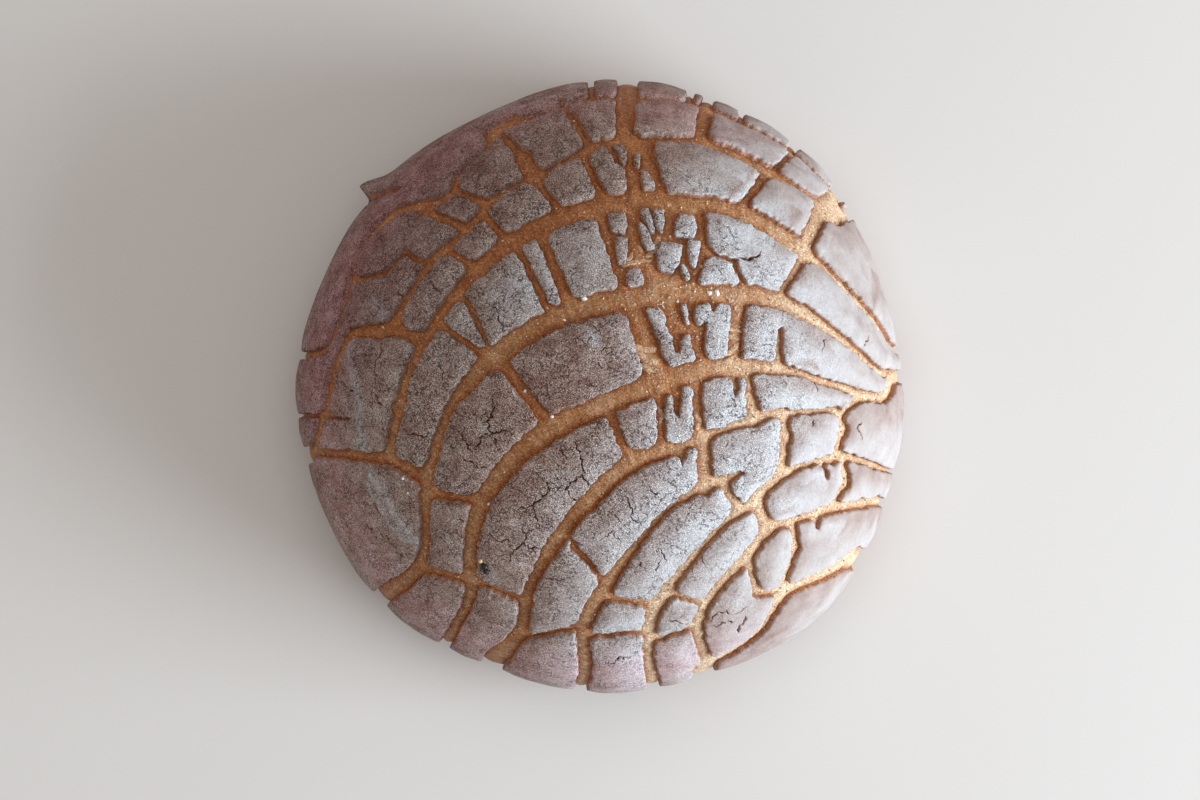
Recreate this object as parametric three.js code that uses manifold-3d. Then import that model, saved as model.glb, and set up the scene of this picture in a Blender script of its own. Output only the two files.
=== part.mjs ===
// A concha: a round sweet bun under a scored sugar-paste crust that baked into separate plates.
// Millimetres, +Z up. The bun stands on z = 0 and its box is centred on the origin.
import * as THREE from "three";
import { mergeVertices } from "three/addons/utils/BufferGeometryUtils.js";
import Module from "manifold-3d";

// The bun
const DOUGH_RADIUS = 56; // at its widest ring
const WIDEST_HEIGHT = 15; // of that ring above the tray
const DOME_RISE = 39; // from that ring to the apex
const BASE_RADIUS = 46; // flat, baked underside
const BASE_ROUNDING = 1.2;
// Uneven rise, as [lobes round the bun, height of each in mm, degrees to the first].
const LOBES = [[2, 0.3, 80], [3, 1.0, -48], [4, 0.35, -35], [8, 0.4, 0]];

// The crust
const CRUST_GAP = 0.3; // clear of the dough
const CRUST_RIM = 1.6; // thickness at a plate's edge
const CRUST_CROWN = 0.65; // how much thicker a plate is inside
const CROWN_REACH = 2.6; // distance from the edge over which it thickens
const CRUST_EDGE_ANGLE = 107; // degrees from the apex down to the crust's lower edge
const EDGE_WAVES = [[5, 1.6, 20], [11, 1.0, 75], [23, 0.7, 10]]; // [waves, mm, degrees] along that edge
const CORNER_ROUNDING = 0.45;
const RAGGEDNESS = 0.2;
const SMALLEST_PLATE = 43; // mm2 of skin
const SMALLEST_SHARD = 4;
const CRUST_TOP_RADIUS = DOUGH_RADIUS + CRUST_GAP + CRUST_RIM;

// Mesh fineness
const GRID_STEP = 0.5;
const SIMPLEST_CORNER = 0.17; // mm2 of outline that a dropped point may change
const LARGEST_SAG = 0.2;
const LONGEST_SPAN = 9;
const BUN_SIDES = 54;
const BUN_RINGS = 15;

const DEGREE = Math.PI / 180;
const SCORE_RUN_OUT = 45; // how far a score line runs on below the widest ring
const SCORE_STEPS = 6; // spline steps between two points
const RIM_START = 53; // a line that ends beyond this radius runs on down the side
const RUN_OUT_TURN = 0.85; // how far it turns straight downhill there

// Shell scores, seen from above, fanning out from the hinge at the lower right. Each is a spline
// through [x, y, width], from the hinge to the far side.
const SCORES = {
  hingeLip: [
    [19.5, -53, 2.3], [24, -50.5, 1.5], [29, -47, 1.2], [32, -43, 1.5], [34.5, -39, 2.1],
    [42, -35.5, 1.9], [47.5, -32.5, 2.6],
  ],
  first: [
    [20, -53.5, 2.3], [18, -44.5, 2.3], [21.5, -38, 1.9], [27.5, -31.5, 2.5], [31, -27, 2.3],
    [36.5, -25, 1.5], [43, -23, 1.7], [52, -21.5, 1.5],
  ],
  second: [
    [9.5, -57, 2.7], [8.5, -50.5, 2.3], [9.5, -42.5, 2.9], [14, -35.5, 2.1], [23, -25.5, 1.5],
    [27, -22.5, 2.1], [32.5, -17.5, 1.9], [38, -14.5, 1.1], [46, -13, 1.5], [52.5, -15, 1],
  ],
  third: [
    [-4.5, -58, 2.7], [-3.5, -53, 2.7], [-4, -46.5, 2.7], [-1.5, -40.5, 3.2], [4, -32.5, 1.9],
    [10.5, -24.5, 1.3], [18, -19, 1.5], [26, -16, 1],
  ],
  fourth: [
    [-21, -52, 3.8], [-16, -46, 2.9], [-14.5, -39, 2.3], [-9.5, -29.5, 2.9], [-2.5, -21, 3.4],
    [5.5, -14, 3.8], [14.5, -11, 1.9], [25, -7, 1.5], [31, -5, 1.7], [37, -4.5, 1], [44.5, -4, 1],
  ],
  fifth: [
    [-30, -48, 2.3], [-25.5, -39.5, 2.3], [-25.5, -30.5, 2.7], [-23.5, -22, 3.4],
    [-19, -15.5, 3.8], [-10.5, -8, 4.6], [-1, -3.5, 3.8], [8.5, 0.5, 4.2], [18, 3.5, 3.4],
    [30.5, 4, 2.7], [37, 3, 1.5], [46, 0, 1.5], [53, -1.5, 1.9], [56, 2, 1.5],
  ],
  sixth: [
    [-41.5, -39, 3.8], [-36, -35, 3], [-34, -29.5, 1.9], [-34, -20, 2.3], [-32, -11.5, 1.9],
    [-28.5, -2.5, 2.3], [-20, 6.5, 4.2], [-11, 12.5, 4.2], [-1, 16, 4.6], [14.5, 18, 3.8],
    [29.5, 17.5, 3.6], [37, 15, 2.7], [44, 10.5, 1.7], [53, 3, 1],
  ],
  seventh: [
    [-41, -13.5, 1.9], [-40, -8, 2.3], [-37, 3.5, 1.9], [-33, 11, 2.5], [-26.5, 20, 2.5],
    [-19, 27, 3.4], [-10.5, 31.5, 3.8], [-1, 34.5, 3.8], [14.5, 35.5, 3], [26, 33.5, 3.2],
    [37, 27, 2.9], [41, 24, 1.5], [50.5, 14.5, 1.1], [55.5, 8, 1],
  ],
  eighth: [
    [-56, -12.5, 1.5], [-53, -3.5, 1.5], [-51.5, 3.5, 1.7], [-48, 10.5, 1.9], [-41, 11.5, 2.9],
    [-38, 16.5, 1.5], [-33, 24, 1.7], [-26.5, 30, 1.5], [-20, 37, 1.3], [-11, 41.5, 1.1],
    [-1, 46.5, 1.7], [8.5, 47.5, 1.3], [19, 47, 1.5], [30.5, 42, 2.1], [39, 37, 1],
    [43.5, 33.5, 3], [46.5, 33.5, 2.3],
  ],
  ninth: [
    [-58, 6.5, 1.5], [-53.5, 7.5, 1.1], [-49, 17.5, 1.1], [-46, 27.5, 1.1], [-39, 34, 1.7],
    [-30, 36.5, 1.5], [-27.5, 41, 1], [-22, 46.5, 1.1], [-20, 50, 2.7], [-14, 51.5, 1],
    [-4.5, 55, 1.1], [8.5, 55.5, 1], [18, 54.5, 1.1], [26, 51, 1.3], [30.5, 49, 1],
    [35.5, 46, 1], [44, 38.5, 1],
  ],
};

// Straight cracks across the bands between the scores, as [x, y, x, y, width, width], by band.
const CRACKS = {
  hinge: [
    [27.5, -32.5, 29, -38.5, 1.5, 1.5], [29, -39, 34.5, -38.5, 1.3, 1.3],
    [36, -25.5, 36.5, -30, 1, 1.5], [36.5, -30, 34, -37.5, 1.5, 1],
    [40.5, -23.5, 40.5, -26.5, 0.8, 0.6],
  ],
  first: [
    [18, -45, 10.5, -47.5, 1, 1], [18.5, -40.5, 13, -39, 1, 0.9],
    [31, -27, 29, -21, 2.7, 2.7], [45.5, -13.5, 46, -18, 1.1, 1.7],
    [46, -18, 43, -22.5, 1.7, 1], [41.5, -14.5, 42.5, -17, 0.8, 0.4],
  ],
  second: [
    [8.5, -46, -3.5, -47, 1, 1], [10, -41, 0, -39.5, 1.5, 1.1],
    [25.5, -23, 22.5, -17.5, 1.7, 1.7],
  ],
  third: [
    [-4, -45, -15.5, -47.5, 1.1, 1], [0, -36.5, -6, -29.5, 1.3, 1.1],
    [19, -19, 19, -9.5, 2.9, 2.7], [34, -4.5, 34.5, -9.5, 1.7, 1.9],
    [34.5, -9.5, 33.5, -16, 1.9, 2.1], [44.5, -4, 45.5, -8, 1, 1.7],
    [45.5, -8, 43.5, -13.5, 1.7, 1.1], [14.5, -12, 15, -15.5, 0.9, 0.6],
  ],
  fourth: [
    [-15, -40.5, -25.5, -36, 1.3, 1.3], [5, -14, 1, -4.5, 1.7, 1.5],
    [11, -11.5, 10.5, 0, 1.5, 1.5], [18, -9.5, 17.5, 3, 2.1, 1.9],
    [13.5, 1.5, 14, -6, 2.5, 0.6], [24.5, 3, 25, -1.5, 1.3, 0.4],
    [28.5, -5.5, 27, 3, 2.9, 1], [49, -1.5, 46, -4, 1.5, 1.1],
  ],
  fifth: [
    [-25.5, -36.5, -35.5, -34, 1.7, 1.7], [-23, -21.5, -33.5, -19.5, 1.7, 1.9],
    [-10.5, -6.5, -20, 5.5, 2.3, 2.3], [10.6, 1.5, 5.3, 16, 5, 3.5],
    [12.5, 17, 14, 7, 4.2, 0.8], [19, 3, 16.5, 12.5, 2.5, 1],
    [16.5, 17, 16.5, 12, 1, 1.1], [24.5, 5, 25.5, 16.5, 2.7, 2.7],
    [33.5, 11.5, 33, 5, 0.9, 1.5], [19, 12.5, 18.5, 8.5, 0.6, 1.3],
    [13.2, 12.2, 17, 10.8, 1.5, 1.1], [20.2, 17, 20.9, 14, 0.8, 0.4],
  ],
  sixth: [
    [-22, 5.5, -31, 12.5, 1.5, 1.5], [-26, 16.5, -22, 8, 1.5, 1],
    [-10, 14, -16.5, 27, 1.7, 1.5], [-7, 17, -13, 31, 2.7, 1.9],
    [4, 18, -2, 35, 1.4, 1.1], [18, 34.5, 19, 26.5, 2.1, 1.7],
    [19, 26.5, 17, 20, 1.7, 1.7], [19.5, 26, 24.5, 24, 1, 1],
    [24.5, 24, 26, 20.5, 1, 1.1], [34, 19, 38.5, 25.5, 1.7, 1.5],
  ],
  seventh: [
    [-58, -12, -49, -12.5, 1.5, 1.7], [-49, -12.5, -40.5, -13.5, 1.9, 2.3],
    [-40.5, -13.5, -33.5, -17.5, 2.3, 2.7], [-39, 11, -34.5, 9, 2.1, 2.3],
    [-53, -5, -47.5, -6, 0.9, 0.4], [-23, 22, -30, 26.5, 1.5, 1.3],
    [-18, 27, -23, 33.5, 1.5, 1.5], [-8, 33, -13, 39.5, 1.5, 1.3],
    [0, 35.5, -4, 44.5, 1.9, 1.5], [1.5, 45, 3.2, 42.6, 1.5, 0.8],
    [26.5, 35, 31, 41, 1.3, 2.3], [38, 27, 41.5, 34, 3, 3],
    [5.5, 35.5, 5, 47, 2.4, 2.4], [11, 36, 8.5, 47, 2.2, 1.4],
  ],
  eighth: [
    [-38, 25.5, -41.5, 22, 1, 1], [-41.5, 22, -48.5, 20.5, 1, 1],
    [-26, 30.5, -34.5, 34, 1.7, 1.7], [-22.5, 35.5, -29, 38, 1.3, 1.1],
    [-19, 48, -15.5, 44, 1.5, 1.7], [-15.5, 44, -13, 40, 3.4, 3.4],
    [-2.5, 45.5, -6.5, 52.5, 1.5, 1.3], [4, 47.5, 4, 55.5, 3.8, 3.8],
    [18.5, 47.5, 19.5, 54, 2.9, 2.7], [32, 41.5, 35.5, 44.5, 1.3, 1],
  ],
  rim: [
    [-2.5, 55, -2.5, 58.5, 1.1, 1.5], [5.5, 55, 5.5, 58.5, 2.3, 2.5],
    [16.5, 54.5, 17, 57.5, 1.7, 2.1], [26.5, 51.5, 27, 54, 1.3, 1.7],
    [36, 45.5, 37, 48.5, 1, 1], [-49, 36.5, -39, 38, 1.8, 0.8],
  ],
};

// One corner of the crust curled up off the side as it dried.
const CURL = { tip: [-47.5, 38.8], lift: 3.2, reach: 6.5, hinge: 0.8 };

// Where the crust crumbled, shards are left on the dough, each tapering along its length:
// [x, y, length, width, degrees, narrow end's share of the width].
const CRUMBLED = [[9, 27], [8, 41], [15.4, 14.5]];
const SHARD_ROOT = 0.8; // sunk into the dough
const SHARD_JITTER = 0.14;
const SHARD_CORNERS = [[-1, -0.7], [-0.3, -1], [0.8, -1], [1, 0.5], [0.2, 1], [-0.9, 0.9]];
const SHARDS = [
  [2.5, 31.3, 4.3, 3.5, -80, 0.8], [3.4, 26, 5.7, 2.6, -88, 0.5], [7.9, 28.7, 5.8, 2, 110, 0.4],
  [8.4, 31.8, 5.4, 1.6, -70, 0.5], [10.4, 32, 4.9, 2.6, -88, 0.35], [15.3, 31.1, 5, 4, 90, 0.9],
  [16.9, 25.8, 5.6, 2.9, -93, 0.3], [12.2, 24.4, 6.3, 4.7, -95, 0.7],
  [15.3, 21.9, 3.3, 1.3, 110, 0.5], [5.8, 21.3, 3.3, 3.1, 100, 0.7],
  [15.3, 14.4, 4.2, 1, -80, 0.5],
  [3.7, 44.4, 2.9, 1.1, 88, 0.7], [6.2, 43.3, 3.4, 1, 88, 0.8], [8, 39.8, 4.3, 2.3, 105, 0.5],
];

const CRUST = { color: 0xa7968c, roughness: 0.92, metalness: 0 };
const DOUGH = { color: 0xb98a5e, roughness: 0.8, metalness: 0 };

// The dough's own surface. An angle of 0 is the apex and 90 degrees the widest ring.
const BASE_ANGLE = Math.PI - Math.asin(BASE_RADIUS / DOUGH_RADIUS);
const UNDER_RISE = -WIDEST_HEIGHT / Math.cos(BASE_ANGLE);

function lobes(heading) {
  let height = 0;
  for (const [count, amount, start] of LOBES) {
    height += amount * Math.cos(count * (heading - start * DEGREE));
  }
  return height / DOUGH_RADIUS;
}

function domePoint(angle, heading, height) {
  const rise = angle < Math.PI / 2 ? DOME_RISE : UNDER_RISE;
  const outward = new THREE.Vector2(rise * Math.sin(angle), DOUGH_RADIUS * Math.cos(angle)).normalize();
  const swell = 1 + lobes(heading) * Math.sin(angle) ** 2;
  const radius = DOUGH_RADIUS * swell * Math.sin(angle) + height * outward.x;
  const z = WIDEST_HEIGHT + rise * Math.cos(angle) + height * outward.y;
  return [radius * Math.cos(heading), radius * Math.sin(heading), z];
}

// The skin is the dome unrolled flat: a point's distance from the middle is its angle from the apex.
function skinPoint(u, v, height) {
  return domePoint(Math.hypot(u, v) / DOUGH_RADIUS, Math.atan2(v, u), height);
}

// From the view from above to the skin. Past STEEP the side is too steep to place lines by radius,
// so the angle grows evenly from there.
const STEEP = 0.95 * CRUST_TOP_RADIUS;

function planToSkin(x, y) {
  const heading = Math.atan2(y, x);
  const seen = Math.hypot(x, y);
  const radius = seen / (1 + lobes(heading) * Math.min(seen / CRUST_TOP_RADIUS, 1) ** 2);
  const steepAngle = Math.asin(STEEP / CRUST_TOP_RADIUS);
  const perRadius = 1 / (CRUST_TOP_RADIUS * Math.cos(steepAngle));
  const angle = radius < STEEP
    ? Math.asin(radius / CRUST_TOP_RADIUS)
    : steepAngle + (radius - STEEP) * perRadius;
  return new THREE.Vector2(Math.cos(heading), Math.sin(heading)).multiplyScalar(angle * DOUGH_RADIUS);
}

// A groove on the skin, as points with a width, from samples [x, y, width] seen from above.
function grooveOnSkin(samples) {
  const line = samples.map((sample, i) => {
    const before = samples[Math.max(i - 1, 0)];
    const after = samples[Math.min(i + 1, samples.length - 1)];
    const across = new THREE.Vector2(before.y - after.y, after.x - before.x).normalize();
    const half = sample.z / 2;
    const left = planToSkin(sample.x + across.x * half, sample.y + across.y * half);
    const right = planToSkin(sample.x - across.x * half, sample.y - across.y * half);
    const middle = left.clone().add(right).multiplyScalar(0.5);
    return new THREE.Vector3(middle.x, middle.y, left.distanceTo(right));
  });
  return runOut(runOut(line, samples).reverse(), samples.slice().reverse());
}

// Carries a line that reaches the rim on down the side.
function runOut(line, samples) {
  const last = samples[samples.length - 1];
  if (Math.hypot(last.x, last.y) < RIM_START) return line;
  const end = line[line.length - 1];
  const from = line[line.length - 2];
  const onward = new THREE.Vector2(end.x - from.x, end.y - from.y).normalize();
  const outward = new THREE.Vector2(end.x, end.y).normalize();
  if (onward.dot(outward) < 0) return line;
  onward.lerp(outward, RUN_OUT_TURN).normalize().multiplyScalar(SCORE_RUN_OUT);
  return [...line, new THREE.Vector3(end.x + onward.x, end.y + onward.y, end.z * 1.3)];
}

function splineSamples(points) {
  const corners = points.map(([x, y, width]) => new THREE.Vector3(x, y, width));
  return new THREE.CatmullRomCurve3(corners, false, "centripetal").getPoints(corners.length * SCORE_STEPS);
}

function crackSamples([x0, y0, x1, y1, width0, width1]) {
  const start = new THREE.Vector3(x0, y0, width0);
  const end = new THREE.Vector3(x1, y1, width1);
  return [0, 0.25, 0.5, 0.75, 1].map((t) => start.clone().lerp(end, t));
}

const grooves = [
  ...Object.values(SCORES).map((points) => grooveOnSkin(splineSamples(points))),
  ...Object.values(CRACKS).flat().map((ends) => grooveOnSkin(crackSamples(ends))),
].map((line) => {
  const box = new THREE.Box2().setFromPoints(line.map((p) => new THREE.Vector2(p.x, p.y)));
  const widest = Math.max(...line.map((p) => p.z));
  return { line, box: box.expandByScalar(widest / 2 + CROWN_REACH + 1) };
});

function distanceToGroove(line, u, v) {
  let nearest = Infinity;
  for (let i = 1; i < line.length; i++) {
    const a = line[i - 1];
    const b = line[i];
    const du = b.x - a.x;
    const dv = b.y - a.y;
    const along = ((u - a.x) * du + (v - a.y) * dv) / (du * du + dv * dv || 1);
    const t = Math.min(Math.max(along, 0), 1);
    const away = Math.hypot(u - a.x - t * du, v - a.y - t * dv) - (a.z + t * (b.z - a.z)) / 2;
    nearest = Math.min(nearest, away);
  }
  return nearest;
}

function ragged(u, v) {
  return RAGGEDNESS * (
    Math.sin(0.9 * u + 1.7 * v + 0.4)
    + Math.sin(-1.9 * u + 1.1 * v + 2.1)
    + 0.7 * Math.sin(3.1 * u + 2.3 * v + 4.4)
    + 0.7 * Math.sin(-2.2 * u + 3.6 * v + 1.3)
  ) / 2;
}

function lowerEdge(heading) {
  let edge = CRUST_EDGE_ANGLE * DEGREE * DOUGH_RADIUS;
  for (const [count, amount, start] of EDGE_WAVES) {
    edge += amount * Math.cos(count * heading + start * DEGREE);
  }
  return edge;
}

// How far a point of the skin is inside a plate: its distance from the nearest groove or from the
// crust's lower edge, with corners rounded off. It is negative in a groove.
function insidePlate(u, v) {
  const here = new THREE.Vector2(u, v);
  let closeness = Math.exp(-(lowerEdge(Math.atan2(v, u)) - here.length()) / CORNER_ROUNDING);
  for (const { line, box } of grooves) {
    if (box.containsPoint(here)) {
      closeness += Math.exp(-distanceToGroove(line, u, v) / CORNER_ROUNDING);
    }
  }
  const inside = closeness > 0 ? -CORNER_ROUNDING * Math.log(closeness) : Infinity;
  return Math.min(inside + ragged(u, v), CROWN_REACH + 1);
}

// Outlines of the plates on the skin, anticlockwise, where insidePlate crosses zero on a grid of
// triangles.
function plateOutlines() {
  const half = Math.ceil((CRUST_EDGE_ANGLE * DEGREE * DOUGH_RADIUS + 6) / GRID_STEP);
  const side = 2 * half + 1;
  const place = (i) => (i - half) * GRID_STEP;
  const field = new Float64Array(side * side);
  for (let row = 0; row < side; row++) {
    for (let column = 0; column < side; column++) {
      field[row * side + column] = insidePlate(place(column), place(row));
    }
  }
  const next = new Map();
  const crossing = (inner, outer) => {
    const key = Math.min(inner, outer) * side * side + Math.max(inner, outer);
    const t = field[inner] / (field[inner] - field[outer]);
    const u = place(inner % side) * (1 - t) + place(outer % side) * t;
    const v = place(Math.floor(inner / side)) * (1 - t) + place(Math.floor(outer / side)) * t;
    return { key, point: new THREE.Vector2(u, v) };
  };
  const addSegment = (corners) => {
    const inner = corners.filter((corner) => field[corner] > 0);
    if (inner.length === 0 || inner.length === 3) return;
    const lone = corners.findIndex((corner) => (field[corner] > 0) === (inner.length === 1));
    const [a, b, c] = [corners[lone], corners[(lone + 1) % 3], corners[(lone + 2) % 3]];
    const [from, to] = inner.length === 1
      ? [crossing(a, b), crossing(a, c)]
      : [crossing(c, a), crossing(b, a)];
    next.set(from.key, { point: from.point, to: to.key });
  };
  for (let row = 0; row < side - 1; row++) {
    for (let column = 0; column < side - 1; column++) {
      const corner = row * side + column;
      addSegment([corner, corner + 1, corner + side + 1]);
      addSegment([corner, corner + side + 1, corner + side]);
    }
  }
  const outlines = [];
  while (next.size > 0) {
    const outline = [];
    let key = next.keys().next().value;
    while (next.has(key)) {
      const { point, to } = next.get(key);
      next.delete(key);
      outline.push(point);
      key = to;
    }
    outlines.push(outline);
  }
  return outlines;
}

const triangleArea = (a, b, c) => ((b.x - a.x) * (c.y - a.y) - (c.x - a.x) * (b.y - a.y)) / 2;

// Drops the points of an outline that matter least.
function simplified(outline) {
  const kept = outline.slice();
  const weight = (i) => new THREE.Triangle(
    ...[kept.at(i - 1), kept[i], kept[(i + 1) % kept.length]]
      .map((p) => new THREE.Vector3(...skinPoint(p.x, p.y, 0))),
  ).getArea();
  while (kept.length > 4) {
    let least = 0;
    for (let i = 1; i < kept.length; i++) {
      if (weight(i) < weight(least)) least = i;
    }
    if (weight(least) > SIMPLEST_CORNER) break;
    kept.splice(least, 1);
  }
  return kept;
}

const edgeKey = (a, b) => Math.min(a, b) + "," + Math.max(a, b);

function edgesOf(triangles) {
  const edges = new Map();
  triangles.forEach((triangle, owner) => {
    for (let i = 0; i < 3; i++) {
      const [a, b, apex] = [triangle[i], triangle[(i + 1) % 3], triangle[(i + 2) % 3]];
      const key = edgeKey(a, b);
      if (!edges.has(key)) edges.set(key, []);
      edges.get(key).push({ a, b, apex, owner });
    }
  });
  return edges;
}

// Splits edges that are long inside the plate or that would cut the corner of the dome, longest
// first, and then flips edges until the triangles are well shaped.
function refined(points, triangles) {
  for (;;) {
    let worst = null;
    let worstLength = 0;
    for (const sides of edgesOf(triangles).values()) {
      const ends = [points[sides[0].a], points[sides[0].b]];
      const [start, end] = ends.map((p) => new THREE.Vector3(...skinPoint(p.x, p.y, 0)));
      const middle = ends[0].clone().lerp(ends[1], 0.5);
      const sag = start.clone().lerp(end, 0.5)
        .distanceTo(new THREE.Vector3(...skinPoint(middle.x, middle.y, 0)));
      const length = start.distanceTo(end);
      const tooLong = sides.length === 2 && length > LONGEST_SPAN;
      if ((tooLong || sag > LARGEST_SAG) && length > worstLength) {
        worst = sides;
        worstLength = length;
      }
    }
    if (!worst) return;
    const middle = points.push(points[worst[0].a].clone().lerp(points[worst[0].b], 0.5)) - 1;
    for (const { a, b, apex, owner } of worst) {
      triangles[owner] = [a, middle, apex];
      triangles.push([middle, b, apex]);
    }
    flipEdges(points, triangles);
  }
}

function flipEdges(points, triangles) {
  const oppositeAngle = (apex, a, b) => {
    const toA = points[a].clone().sub(points[apex]);
    const toB = points[b].clone().sub(points[apex]);
    return Math.abs(toA.angleTo(toB));
  };
  for (let flipped = true; flipped;) {
    flipped = false;
    for (const sides of edgesOf(triangles).values()) {
      if (sides.length < 2) continue;
      const [one, other] = sides;
      const across = oppositeAngle(one.apex, one.a, one.b) + oppositeAngle(other.apex, one.a, one.b);
      if (across < Math.PI + 1e-6) continue;
      const first = [one.apex, one.a, other.apex];
      const second = [other.apex, one.b, one.apex];
      const convex = [first, second].every((t) => triangleArea(...t.map((i) => points[i])) > 1e-6);
      if (!convex) continue;
      triangles[one.owner] = first;
      triangles[other.owner] = second;
      flipped = true;
      break;
    }
  }
}

// Turns a patch of the skin into a closed slab between two heights.
function slabGeometry(points, triangles, lowHeight, highHeight) {
  const low = points.map((p) => skinPoint(p.x, p.y, lowHeight(p)));
  const high = points.map((p) => skinPoint(p.x, p.y, highHeight(p)));
  const count = points.length;
  const faces = [];
  for (const [a, b, c] of triangles) {
    faces.push([a + count, b + count, c + count], [a, c, b]);
  }
  for (const sides of edgesOf(triangles).values()) {
    if (sides.length === 1) {
      const { a, b } = sides[0];
      faces.push([a, b, b + count], [a, b + count, a + count]);
    }
  }
  return closedGeometry([...low, ...high], faces);
}

function closedGeometry(vertices, faces) {
  const geometry = new THREE.BufferGeometry();
  geometry.setAttribute("position", new THREE.Float32BufferAttribute(vertices.flat(), 3));
  geometry.setIndex(faces.flat());
  return geometry;
}

const curlTip = planToSkin(...CURL.tip);

// How far the curled corner stands off the dough. It rises only on the upper side of its crack.
function curl(p) {
  const away = p.distanceTo(curlTip) / CURL.reach;
  const alongSide = curlTip.clone().rotateAround(new THREE.Vector2(), -Math.PI / 2).normalize();
  const above = p.clone().sub(curlTip).dot(alongSide) / CURL.hinge;
  return CURL.lift * Math.exp(-away * away) * THREE.MathUtils.smoothstep(above, -1, 1);
}

function crustTop(p) {
  const crown = Math.min(Math.max(insidePlate(p.x, p.y), 0) / CROWN_REACH, 1);
  return CRUST_GAP + CRUST_RIM + CRUST_CROWN * Math.sin(crown * Math.PI / 2) + curl(p);
}

function crustGeometry(outline, underside) {
  const points = simplified(outline);
  const triangles = THREE.ShapeUtils.triangulateShape(points, []);
  flipEdges(points, triangles);
  refined(points, triangles);
  return slabGeometry(points, triangles, underside, crustTop);
}

function doughGeometry() {
  const vertices = [domePoint(0, 0, 0)];
  const faces = [];
  const addRing = (pointAt) => {
    for (let side = 0; side < BUN_SIDES; side++) {
      vertices.push(pointAt((side / BUN_SIDES) * 2 * Math.PI));
    }
  };
  const lastAngle = BASE_ANGLE - BASE_ROUNDING / DOUGH_RADIUS;
  for (let ring = 1; ring <= BUN_RINGS; ring++) {
    addRing((heading) => domePoint((ring / BUN_RINGS) * lastAngle, heading, 0));
  }
  addRing((heading) => {
    const [x, y] = domePoint(BASE_ANGLE, heading, -BASE_ROUNDING);
    return [x, y, 0];
  });
  const bottom = vertices.push([0, 0, 0]) - 1;
  const rings = BUN_RINGS + 1;
  for (let side = 0; side < BUN_SIDES; side++) {
    const next = (side + 1) % BUN_SIDES;
    faces.push([0, 1 + side, 1 + next]);
    for (let ring = 0; ring < rings - 1; ring++) {
      const upper = 1 + ring * BUN_SIDES;
      const lower = upper + BUN_SIDES;
      faces.push([upper + side, lower + side, lower + next], [upper + side, lower + next, upper + next]);
    }
    const last = 1 + (rings - 1) * BUN_SIDES;
    faces.push([last + side, bottom, last + next]);
  }
  return closedGeometry(vertices, faces);
}

function shardGeometry([x, y, length, width, degrees, taper], index) {
  const middle = planToSkin(x, y);
  const points = SHARD_CORNERS.map(([along, across], corner) => {
    const reach = 1 + SHARD_JITTER * Math.sin(5 * corner + 3 * index);
    const narrowed = THREE.MathUtils.mapLinear(along, -1, 1, 1, taper);
    return new THREE.Vector2(along * length / 2, across * narrowed * width / 2)
      .multiplyScalar(reach)
      .rotateAround(new THREE.Vector2(), degrees * DEGREE)
      .add(middle);
  });
  const triangles = THREE.ShapeUtils.triangulateShape(points, []);
  return slabGeometry(points, triangles, () => -SHARD_ROOT, () => CRUST_GAP + CRUST_RIM);
}

const wasm = await Module();
wasm.setup();

function solidOf(geometry) {
  const merged = mergeVertices(geometry);
  return new wasm.Manifold(new wasm.Mesh({
    numProp: 3,
    vertProperties: new Float32Array(merged.attributes.position.array),
    triVerts: new Uint32Array(merged.index.array),
  }));
}

function geometryOf(solid) {
  const mesh = solid.getMesh();
  const geometry = new THREE.BufferGeometry();
  geometry.setAttribute("position", new THREE.BufferAttribute(new Float32Array(mesh.vertProperties), 3));
  geometry.setIndex(new THREE.BufferAttribute(new Uint32Array(mesh.triVerts), 1));
  return geometry;
}

// The dough with everything too small to be a plate baked onto it.
function bunGeometry(scraps) {
  let bun = solidOf(doughGeometry());
  for (const shard of [...SHARDS.map(shardGeometry), ...scraps]) {
    bun = bun.add(solidOf(shard));
  }
  return geometryOf(bun);
}

function centreOf(outline) {
  const centre = new THREE.Vector2();
  outline.forEach((p) => centre.add(p));
  return centre.divideScalar(outline.length);
}

function encloses(outline, point) {
  let inside = false;
  outline.forEach((a, i) => {
    const b = outline.at(i - 1);
    const reach = a.x + ((b.x - a.x) * (point.y - a.y)) / (b.y - a.y);
    if (a.y > point.y !== b.y > point.y && point.x < reach) inside = !inside;
  });
  return inside;
}

// What is left of the crust, from the hinge outwards.
function wholeOutlines() {
  const hinge = planToSkin(...SCORES.hingeLip[0]);
  const crumbled = CRUMBLED.map((place) => planToSkin(...place));
  return plateOutlines()
    .filter((outline) => THREE.ShapeUtils.area(outline) > SMALLEST_SHARD)
    .filter((outline) => !crumbled.some((place) => encloses(outline, place)))
    .sort((a, b) => centreOf(a).distanceTo(hinge) - centreOf(b).distanceTo(hinge));
}

function namedMesh(name, geometry, finish) {
  geometry.computeVertexNormals();
  const mesh = new THREE.Mesh(geometry, new THREE.MeshStandardMaterial(finish));
  mesh.name = name;
  return mesh;
}

const concha = new THREE.Group();
const outlines = wholeOutlines();
const isPlate = (outline) => THREE.ShapeUtils.area(outline) > SMALLEST_PLATE;
const scraps = outlines.filter((outline) => !isPlate(outline))
  .map((outline) => crustGeometry(outline, () => -SHARD_ROOT));
concha.add(namedMesh("bun", bunGeometry(scraps), DOUGH));
outlines.filter(isPlate).forEach((outline, index) => {
  const name = "crust_plate_" + String(index + 1).padStart(2, "0");
  const underside = (p) => CRUST_GAP + curl(p);
  concha.add(namedMesh(name, crustGeometry(outline, underside), CRUST));
});

// The uneven rim sits a little off centre, so the whole is moved to stand over the origin.
const centre = new THREE.Box3().setFromObject(concha).getCenter(new THREE.Vector3());
concha.position.set(-centre.x, -centre.y, 0);
concha.updateMatrixWorld(true);

export default concha;
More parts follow.
